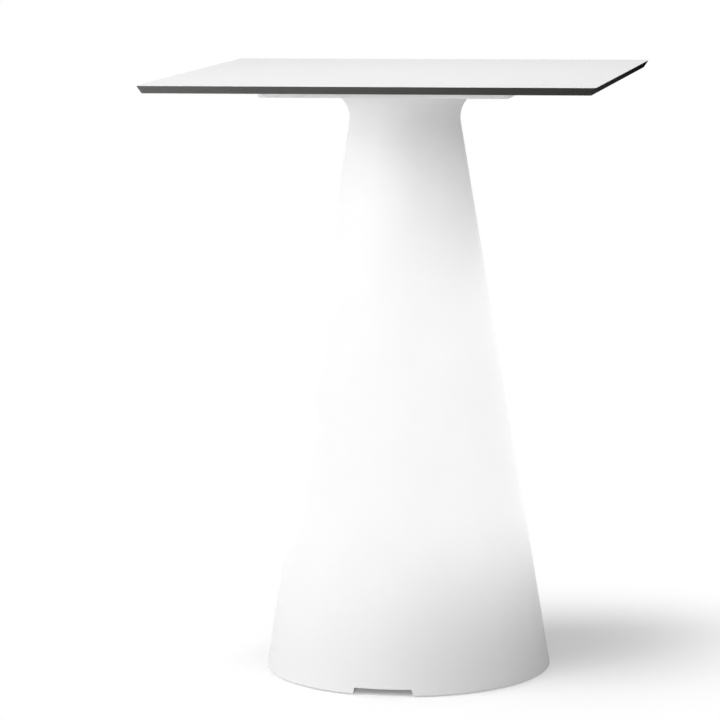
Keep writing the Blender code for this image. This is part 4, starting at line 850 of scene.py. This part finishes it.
def notch_form(margin):
    """The cable notch at margin zero, or with the wall's thickness round it the moulded saddle over it."""
    spread = (NOTCH_BOTTOM_WIDTH - NOTCH_TOP_WIDTH) / 2 / NOTCH_HEIGHT
    top, bottom = RIM_HEIGHT + NOTCH_HEIGHT + margin, RIM_HEIGHT - CUT
    top_half = NOTCH_TOP_WIDTH / 2 + margin
    bottom_half = top_half + spread * (top - bottom)
    outline = [(-bottom_half, bottom), (bottom_half, bottom), (top_half, top), (-top_half, top)]
    near = math.sqrt(FOOT_RING_RADIUS**2 - bottom_half**2) - CUT
    return facing_front(lofted([(outline, near), (outline, BASE_RADIUS + CUT)]))


def build_shell():
    """The moulded shell with finely rounded surfaces, in the place of the faceted CAD solid."""
    shell = solid("shell_skin", [turned(bell_profile(0.0), ROUND)])
    join(shell, [head_form(0.0)])
    cavity = solid("cavity", [turned(bell_profile(SHELL_WALL), CAVITY_ROUND)])
    join(cavity, [head_form(SHELL_WALL)])
    inner_floor = SHELL_FLOOR + SHELL_WALL
    kept = [notch_form(SHELL_WALL)]
    kept += bores(CUP_RADIUS + SHELL_WALL, HEAD_UNDERSIDE, HEAD_TOP, CUP_PLACES)
    kept += bores(BOSS_RADIUS, SHELL_FLOOR, inner_floor + BOSS_HEIGHT, BOSS_PLACES)
    cut(cavity, kept)
    combine(shell, cavity, "DIFFERENCE")

    ceiling = HEAD_UNDERSIDE + CUP_DEPTH
    cup = [
        (0, HEAD_TOP + CUT),
        (CUP_HOLE_RADIUS, HEAD_TOP + CUT),
        (CUP_HOLE_RADIUS, ceiling),
        (CUP_RADIUS - CUP_DRAFT, ceiling),
        (CUP_RADIUS, HEAD_UNDERSIDE),
        (CUP_RADIUS, HEAD_UNDERSIDE - CUT),
        (0, HEAD_UNDERSIDE - CUT),
    ]
    low = SHELL_FLOOR - CUT
    cuts = [cylinder(FLOOR_OPENING_RADIUS, low, inner_floor + CUT, CAVITY_ROUND), notch_form(0.0)]
    cuts += [moved(turned(cup, CUP_ROUND), x, y) for x, y in CUP_PLACES]
    cuts += bores(BOSS_BORE_RADIUS, low, SHELL_FLOOR + BOSS_BORE_DEPTH, BOSS_PLACES)
    cut(shell, cuts)
    stand_in(shell, "base_shell")


def build_top():
    """The decor sheet, the dark core with its slanted edge, and the balance sheet, pressed into one."""
    face_low = TABLE_HEIGHT - SHEET
    core_low = TOP_UNDERSIDE + SHEET

    def layer(inward, height):
        side = TOP_SIDE - 2 * inward
        radius = TOP_CORNER_RADIUS + (UNDERCUT_CORNER_RADIUS - TOP_CORNER_RADIUS) * inward / UNDERCUT
        return rounded_square(side, radius), height

    face = [layer(0, face_low)]
    for turn in QUARTER_TURN:
        face.append(layer(TOP_EDGE * (1 - math.cos(turn)), TABLE_HEIGHT - TOP_EDGE * (1 - math.sin(turn))))
    stand_in(solid("decor_sheet", [lofted(face)]), "tabletop_face")

    core = solid("slanted_core", [lofted([layer(UNDERCUT, core_low), layer(0, face_low)])])
    cut(core, bores(TAPPED_RADIUS, core_low - CUT, core_low + TAPPED_DEPTH, CUP_PLACES))
    stand_in(core, "tabletop_core")

    inward = UNDERCUT + BACKER_SETBACK
    backer = solid("balance_sheet", [lofted([layer(inward, TOP_UNDERSIDE), layer(inward, core_low)])])
    cut(backer, bores(TAPPED_RADIUS, TOP_UNDERSIDE - CUT, core_low + CUT, CUP_PLACES))
    stand_in(backer, "tabletop_backer")


def socket_screw(profile, key_radius, key_depth):
    """A screw that points up, from its tip down to its head, with a six-sided socket in the head."""
    low = profile[-1][1]
    sections = [(circle(radius), height) for radius, height in profile]
    sections.append((hexagon(key_radius), low))
    sections.append((hexagon(key_radius), low + key_depth))
    sections.append((hexagon(key_radius / 4), low + key_depth + key_radius / 4))
    return lofted(sections)


def build_screws():
    """Every screw whose head shows, with a rounded head and a socket."""
    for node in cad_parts:
        kind = node.rsplit("_", 1)[0].replace("_front", "").replace("_back", "")
        if kind not in SCREWS:
            continue
        shank, head, height, flange, flange_height, key = SCREWS[kind]
        low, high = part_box(node)
        x, y = (low[0] + high[0]) / 2, (low[1] + high[1]) / 2
        bearing = low[2] + height
        edge = height / 5
        profile = [(shank * SCREW_TIP, high[2]), (shank, high[2] - shank / 4), (shank, bearing)]
        if flange:
            seat = bearing - flange_height
            profile += [(flange, bearing), (flange, seat + flange_height / 3), (head + edge / 2, seat)]
            profile += [(head, seat - edge / 2)]
        else:
            profile += [(head, bearing)]
        profile += lower_edge(head, low[2], edge)
        screw = moved(socket_screw(profile, key, height * SOCKET_DEPTH), x, y)
        stand_in(solid(f"{node}_detail", [screw]), node)


def build_disc():
    """The coated steel disc with its bevelled rim and its holes."""
    edge = DISC_EDGE
    section = [
        (DISC_HOLE_RADIUS, DISC_TOP),
        (DISC_RADIUS - edge, DISC_TOP),
        (DISC_RADIUS, DISC_TOP - edge),
        (DISC_RADIUS, DISC_LOW + edge),
        (DISC_RADIUS - edge, DISC_LOW),
        (DISC_HOLE_RADIUS + edge / 2, DISC_LOW),
        (DISC_HOLE_RADIUS, DISC_LOW + edge / 2),
    ]
    disc = solid("disc_plate", [turned(section, ROUND, closed=True)])
    low, high = DISC_LOW - CUT, DISC_TOP + CUT
    holes = bores(FOOT_HOLE_RADIUS, low, high, FOOT_PLACES.values())
    holes += bores(DISC_SCREW_HOLE_RADIUS, low, high, BOSS_PLACES)
    holes += bores(HOUSING_HOLE_RADIUS, low, high, on_circle(HOUSING_SCREW_CIRCLE, THIRDS))
    cut(disc, holes)
    stand_in(disc, "ballast_disc")


def bush_form():
    section = stepped(BUSH_BORE_RADIUS, DISC_TOP, BUSH_SPIGOT_RADIUS, BUSH_SEAT, BUSH_RADIUS)
    section += lower_edge(BUSH_RADIUS, BUSH_LOW, BUSH_EDGE)
    section += [(BUSH_BORE_RADIUS + BUSH_EDGE, BUSH_LOW), (BUSH_BORE_RADIUS, BUSH_LOW + BUSH_EDGE)]
    return turned(section, CUP_ROUND, closed=True)


def pad_form():
    """A rubber foot with a scalloped flank to grip it by, and the socket for its stud."""
    count = LOBE_STEPS * PAD_LOBES

    def scalloped(radius, depth=0):
        points = []
        for step, (x, y) in enumerate(circle(1.0, count)):
            wave = (1 - math.cos(math.tau * step * PAD_LOBES / count)) / 2
            points.append((x * (radius - depth * wave), y * (radius - depth * wave)))
        return points

    edge = PAD_EDGE
    sections = [
        (scalloped(PAD_SOCKET_RADIUS), PAD_SOCKET_FLOOR),
        (scalloped(PAD_SOCKET_RADIUS), PAD_HEIGHT),
        (scalloped(PAD_TOP_RADIUS - edge / 2), PAD_HEIGHT),
        (scalloped(PAD_TOP_RADIUS), PAD_HEIGHT - edge / 3),
        (scalloped(PAD_RADIUS - edge / 3, PAD_LOBE_DEPTH / 2), PAD_FLANK_TOP + edge / 4),
        (scalloped(PAD_RADIUS, PAD_LOBE_DEPTH), PAD_FLANK_TOP - edge / 2),
    ]
    for radius, height in lower_edge(PAD_RADIUS, 0, edge):
        sections.append((scalloped(radius, PAD_LOBE_DEPTH), height))
    return lofted(sections)


def thread_ridge(low, high):
    """The ridge of a screw thread: a slim wedge wound round the shank."""
    turns = (high - low) / THREAD_PITCH
    count = math.ceil(turns * SMALL_ROUND)
    root = THREAD_ROOT - THREAD_SINK
    form = bmesh.new()
    rows = []
    for step in range(count + 1):
        angle = math.tau * turns * step / count
        height = low + (high - low) * step / count
        grown = min(1.0, step / SMALL_ROUND, (count - step) / SMALL_ROUND)
        crest = THREAD_ROOT + (THREAD_RADIUS - THREAD_ROOT) * grown
        wedge = [(root, -RIDGE_FOOT), (crest, -RIDGE_CREST), (crest, RIDGE_CREST), (root, RIDGE_FOOT)]
        turn = (math.cos(angle), math.sin(angle))
        rows.append([
            form.verts.new((radius * turn[0], radius * turn[1], height + share * THREAD_PITCH))
            for radius, share in wedge
        ])
    for row, following in zip(rows, rows[1:]):
        for corner in range(4):
            after = (corner + 1) % 4
            form.faces.new((row[corner], following[corner], following[after], row[after]))
    form.faces.new(rows[0])
    form.faces.new(rows[-1])
    return faced_outwards(form)


def stud_forms():
    """A stud: its neck and threaded core in one turned form, the six-sided grip, and the thread."""
    middle = (STUD_HEX_LOW + STUD_HEX_HIGH) / 2
    shank = stepped(0, STUD_HIGH, THREAD_ROOT, middle, STUD_NECK_RADIUS, STUD_LOW, 0)
    grip = hexagon(STUD_HEX_RADIUS)
    end = held_in(grip, STUD_HEX_RADIUS * HEX_ROUNDING)
    chamfer = STUD_HEX_RADIUS * HEX_CHAMFER
    sections = [
        (end, STUD_HEX_LOW),
        (grip, STUD_HEX_LOW + chamfer),
        (grip, STUD_HEX_HIGH - chamfer),
        (end, STUD_HEX_HIGH),
    ]
    ridge = thread_ridge(STUD_HEX_HIGH - THREAD_PITCH, STUD_HIGH - THREAD_PITCH)
    return [turned(shank, SMALL_ROUND), lofted(sections), ridge]


def build_feet():
    """The rubber pads, the studs and the bushes, each in the place of its node."""
    for corner, (x, y) in FOOT_PLACES.items():
        bush = solid(f"bush_{corner}", [moved(bush_form(), x, y)])
        stand_in(bush, f"foot_bush_{corner}")
        pad = solid(f"pad_rubber_{corner}", [moved(pad_form(), x, y)])
        stand_in(pad, f"foot_pad_{corner}", f"pad_{corner}")
        stud = solid(f"threaded_stud_{corner}", [moved(form, x, y) for form in stud_forms()])
        stand_in(stud, f"foot_stud_{corner}", f"stud_{corner}")


def housing_section():
    """The drum from its roof down its outer wall, round the flange and its groove, and up inside."""
    edge = HOUSING_EDGE
    section = stepped(
        0, ROOF_HIGH, SPIGOT_INNER, SPIGOT_TOP, SPIGOT_RADIUS, SEAL_GROOVE_HIGH,
        SEAL_GROOVE, SEAL_GROOVE_LOW, SPIGOT_RADIUS, ROOF_HIGH,
    )
    section += upper_edge(HOUSING_RADIUS, ROOF_HIGH, edge)
    section += stepped(HOUSING_RADIUS, FLANGE_TOP, GROOVE_INNER, GROOVE_FLOOR, GROOVE_OUTER, FLANGE_TOP)
    section += upper_edge(FLANGE_RADIUS, FLANGE_TOP, edge)
    section += lower_edge(FLANGE_RADIUS, FLANGE_LOW, edge)
    section += arc((HOUSING_RADIUS + edge, FLANGE_LOW - edge), edge, 90, 180)
    section += lower_edge(HOUSING_RADIUS, HOUSING_LOW, edge)
    section += [(HOUSING_INNER, HOUSING_LOW), (HOUSING_INNER, ROOF_LOW), (0, ROOF_LOW)]
    return section


def hinge_ear(low):
    """One ear that holds the lid's pin, from the pad's face out to the pin."""
    root = INLET_PAD_FACE - KNUCKLE_RADIUS / 2
    outline = [(HINGE_OFFSET + KNUCKLE_RADIUS, -root), (HINGE_OFFSET - KNUCKLE_RADIUS, -root)]
    outline += arc((HINGE_OFFSET, -HINGE_REACH), KNUCKLE_RADIUS, 180, 360, CORNER_STEPS)
    return lofted([(outline, low), (outline, low + EAR_HEIGHT)])


def at_inlet(form):
    """Turns a form built upright to the front and lifts it to the inlet's height."""
    return facing_front(moved(form, y=INLET_HEIGHT))


def build_housing():
    """The light housing with its screw towers, inlet pad and hinge ears."""
    housing = solid("housing_drum", [turned(housing_section(), DRUM_ROUND)])
    towers = on_circle(TOWER_CIRCLE, THIRDS)
    middle_of_roof = (ROOF_LOW + ROOF_HIGH) / 2
    join(housing, bores(TOWER_RADIUS, TOWER_LOW, middle_of_roof, towers))
    outline = rounded_rectangle(INLET_PAD_LEFT, INLET_PAD_RIGHT, INLET_PAD_HALF, INLET_PAD_CORNER)
    join(housing, [at_inlet(lofted([(outline, INLET_PAD_ROOT), (outline, INLET_PAD_FACE)]))])
    join(housing, [hinge_ear(INLET_HEIGHT + EAR_GAP), hinge_ear(INLET_HEIGHT - EAR_GAP - EAR_HEIGHT)])

    cuts = [at_inlet(cylinder(INLET_RADIUS + FILLET_SINK, INLET_BACK, BEZEL_FRONT + CUT, CUP_ROUND))]
    low, high = ROOF_LOW - CUT, ROOF_HIGH + CUT
    cuts += bores(GROMMET_HOLE_RADIUS, low, high, [(0, 0)])
    cuts += bores(PILOT_RADIUS, low, high, [(-POST_SCREW_SPREAD, 0), (POST_SCREW_SPREAD, 0)], CAP_ROUND)
    straps = [(-STRAP_SCREW_SPREAD, STRAP_MIDDLE), (STRAP_SCREW_SPREAD, STRAP_MIDDLE)]
    cuts += bores(PILOT_RADIUS, low, middle_of_roof, straps, CAP_ROUND)
    cuts += bores(PILOT_RADIUS, TOWER_LOW - CUT, PILOT_TOP, towers, CAP_ROUND)
    flange_holes = on_circle(HOUSING_SCREW_CIRCLE, THIRDS)
    cuts += bores(HOUSING_HOLE_RADIUS, FLANGE_LOW - CUT, FLANGE_TOP + CUT, flange_holes)
    low, high = INLET_HEIGHT - (PIN_HALF + CUT), INLET_HEIGHT + (PIN_HALF + CUT)
    cuts += bores(PIN_HOLE_RADIUS, low, high, [PIN_PLACE], CAP_ROUND)
    cut(housing, cuts)
    stand_in(housing, "light_housing")


def build_cover():
    """The service cover with its staked standoffs, its screw holes and the holes for button and light."""
    plate = [(0, COVER_TOP), (COVER_RADIUS, COVER_TOP)]
    plate += lower_edge(COVER_RADIUS, COVER_LOW, COVER_EDGE)
    cover = solid("cover_plate", [turned(plate + [(0, COVER_LOW)], DRUM_ROUND)])
    root = (COVER_LOW + COVER_TOP) / 2
    stake = stepped(
        0, STAKE_TOP, STAKE_HEAD_RADIUS, STAKE_BEARING,
        STAKE_RADIUS, STANDOFF_TOP, STANDOFF_RADIUS, root, 0,
    )
    join(cover, [moved(turned(stake, CAP_ROUND), *place) for place in on_circle(STANDOFF_CIRCLE, THIRDS)])
    low, high = COVER_LOW - CUT, COVER_TOP + CUT
    cuts = bores(PILOT_RADIUS, low, high, on_circle(TOWER_CIRCLE, THIRDS))
    cuts += bores(BUTTON_RADIUS + FILLET_SINK, low, high, [(0, 0)], CUP_ROUND)
    cuts += bores(INDICATOR_RADIUS + FILLET_SINK, low, high, [(INDICATOR_PLACE, 0)])
    cut(cover, cuts)
    stand_in(cover, "service_cover")


def build_controls():
    """The power button with its dished face, and the indicator's light guide."""
    edge = BUTTON_EDGE
    button = stepped(
        0, BUTTON_TOP, BUTTON_STEM_RADIUS, BUTTON_COLLAR_TOP,
        BUTTON_COLLAR_RADIUS, BUTTON_COLLAR_LOW, BUTTON_RADIUS,
    )
    button += lower_edge(BUTTON_RADIUS, BUTTON_LOW, edge)
    for step in range(1, EDGE_STEPS + 1):
        share = 1 - step / EDGE_STEPS
        button.append(((BUTTON_RADIUS - edge) * share, BUTTON_LOW + edge / 2 * (1 - share**2)))
    stand_in(solid("dished_button", [turned(button, CAVITY_ROUND)]), "power_button", "button")

    guide = stepped(
        0, INDICATOR_TOP, INDICATOR_RADIUS, INDICATOR_COLLAR_TOP,
        INDICATOR_COLLAR_RADIUS, INDICATOR_COLLAR_LOW, INDICATOR_RADIUS,
    )
    guide += lower_edge(INDICATOR_RADIUS, INDICATOR_LOW, INDICATOR_RADIUS / 4)
    guide += [(0, INDICATOR_LOW)]
    lens = solid("light_guide", [moved(turned(guide, SMALL_ROUND), x=INDICATOR_PLACE)])
    stand_in(lens, "indicator_lens")


def build_inlet():
    """The charging inlet with its centre pin, the lid on its knuckle, and the lid's pin."""
    edge = BEZEL_EDGE
    profile = stepped(0, INLET_BACK, INLET_RADIUS, BEZEL_BACK, BEZEL_RADIUS)
    profile += reversed(upper_edge(BEZEL_RADIUS, BEZEL_FRONT, edge))
    profile += [
        (INLET_BORE_RADIUS + edge, BEZEL_FRONT),
        (INLET_BORE_RADIUS, BEZEL_FRONT - edge),
        (INLET_BORE_RADIUS, INLET_BORE_FLOOR),
        (INLET_PIN_RADIUS, INLET_BORE_FLOOR),
        (INLET_PIN_RADIUS, INLET_PIN_FRONT - edge),
        (INLET_PIN_RADIUS / 2, INLET_PIN_FRONT),
        (0, INLET_PIN_FRONT),
    ]
    stand_in(solid("inlet_socket", [at_inlet(turned(profile, CUP_ROUND))]), "charge_inlet")

    neck = math.degrees(math.asin(LID_ARM_HALF / LID_RADIUS))
    outline = [(HINGE_OFFSET, -LID_ARM_HALF), (HINGE_OFFSET, LID_ARM_HALF)]
    outline += arc((0, 0), LID_RADIUS, neck, 360 - neck, CUP_ROUND)
    lid = solid("lid_plate", [at_inlet(lofted([(outline, LID_BACK), (outline, LID_FRONT)]))])
    low, high = INLET_HEIGHT - LID_ARM_HALF, INLET_HEIGHT + LID_ARM_HALF
    join(lid, bores(KNUCKLE_RADIUS, low, high, [PIN_PLACE]))
    cut(lid, bores(PIN_HOLE_RADIUS, low - CUT, high + CUT, [PIN_PLACE], CAP_ROUND))
    soften(lid, LID_EDGE)
    stand_in(lid, "inlet_lid", "lid")

    pin = [(0, PIN_HALF), (PIN_RADIUS * PIN_TIP, PIN_HALF)]
    pin.append((PIN_RADIUS, PIN_HALF - PIN_RADIUS * PIN_CHAMFER))
    pin += [(radius, -height) for radius, height in reversed(pin)]
    stand_in(solid("hinge_pin", [moved(turned(pin, CAP_ROUND), *PIN_PLACE, INLET_HEIGHT)]), "lid_pin")


def dress_nodes():
    """Gives each CAD node the finish of its own material slot."""
    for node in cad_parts.values():
        for holder in node.material_slots:
            name = holder.material.name.split(".")[0]
            holder.material = FINISHES.get(name, holder.material)


def build_camera():
    data = bpy.data.cameras.new("camera")
    data.lens = CAMERA_LENS
    data.sensor_width = CAMERA_SENSOR
    camera = placed("camera", data)
    turn = Matrix.Rotation(math.radians(CAMERA_PAN), 4, "Z")
    turn = turn @ Matrix.Rotation(math.radians(CAMERA_TILT), 4, "X")
    turn = turn @ Matrix.Rotation(math.radians(CAMERA_ROLL), 4, "Z")
    camera.matrix_world = Matrix.Translation(CAMERA_PLACE) @ turn
    bpy.context.scene.camera = camera


def build_world():
    """A soft surround, weakest on the right; the camera, mirrors and glass see it white."""
    world = bpy.data.worlds.new("studio")
    bpy.context.scene.world = world
    world.use_nodes = True
    sky = Nodes(world.node_tree, "Generated")
    light = 0.0
    for direction, strength in WORLD_LIGHTS.values():
        side = sky.add("ShaderNodeVectorMath", {0: sky.place, 1: direction}, operation="DOT_PRODUCT")
        light = sky.math("ADD", sky.spread(side.outputs["Value"], 0.0, 1.0, 0.0, strength), light)
    background = sky.tree.nodes["Background"]
    sky.feed(background.inputs["Color"], colour(1.0))
    sky.feed(background.inputs["Strength"], sky.mix(sky.seen(), light, 1.0))


def build_floor():
    """A plain white floor that keeps the shadow, and that can be looked through from below."""
    mesh = bpy.data.meshes.new("floor")
    half = FLOOR_SIDE / 2
    corners = [(-half, -half, 0), (half, -half, 0), (half, half, 0), (-half, half, 0)]
    mesh.from_pydata(corners, [], [(0, 1, 2, 3)])
    floor = placed("floor", mesh)
    made = Finish("floor", specular=0.0)
    made.put("Roughness", FLOOR_ROUGHNESS)
    seen = made.seen()
    plain = 1.0
    for centre, near, far in SHADOW_ZONES.values():
        away = made.add("ShaderNodeVectorMath", {0: made.place, 1: centre}, operation="DISTANCE")
        outside = made.spread(away.outputs["Value"], near, far, eased=True)
        plain = made.math("MINIMUM", outside, plain)
    made.tint(made.math("MULTIPLY", seen, plain), FLOOR_COLOUR, 0.0)
    made.put("Emission Color", colour(1.0))
    lift = made.spread(plain, 0.0, 1.0, FLOOR_LIFT, 1.0)
    made.put("Emission Strength", made.math("MULTIPLY", seen, lift))
    below = made.add("ShaderNodeNewGeometry").outputs["Backfacing"]
    clear = made.add("ShaderNodeBsdfTransparent").outputs["BSDF"]
    sides = made.add("ShaderNodeMixShader", {"Fac": below, 1: made.shader.outputs["BSDF"], 2: clear})
    made.feed(made.tree.nodes["Material Output"].inputs["Surface"], sides.outputs["Shader"])
    mesh.materials.append(made.material)


def build_lamps():
    """Broad soft lamps: most from the left, so that the shadow falls to the right and fades."""
    for name, (azimuth, elevation, distance, side, power) in LAMPS.items():
        data = bpy.data.lights.new(name, "AREA")
        data.shape = "SQUARE"
        data.size = side
        data.energy = power
        lamp = placed(name, data)
        turn, rise = math.radians(azimuth), math.radians(elevation)
        way = Vector((math.cos(rise) * math.cos(turn), math.cos(rise) * math.sin(turn), math.sin(rise)))
        lamp.location = LAMP_AIM + distance * way
        lamp.rotation_euler = (-way).to_track_quat("-Z", "Y").to_euler()


build_camera()
build_top()
build_shell()
build_screws()
build_disc()
build_feet()
build_housing()
build_cover()
build_controls()
build_inlet()
dress_nodes()
build_world()
build_floor()
build_lamps()
bpy.context.scene.view_settings.view_transform = "Standard"
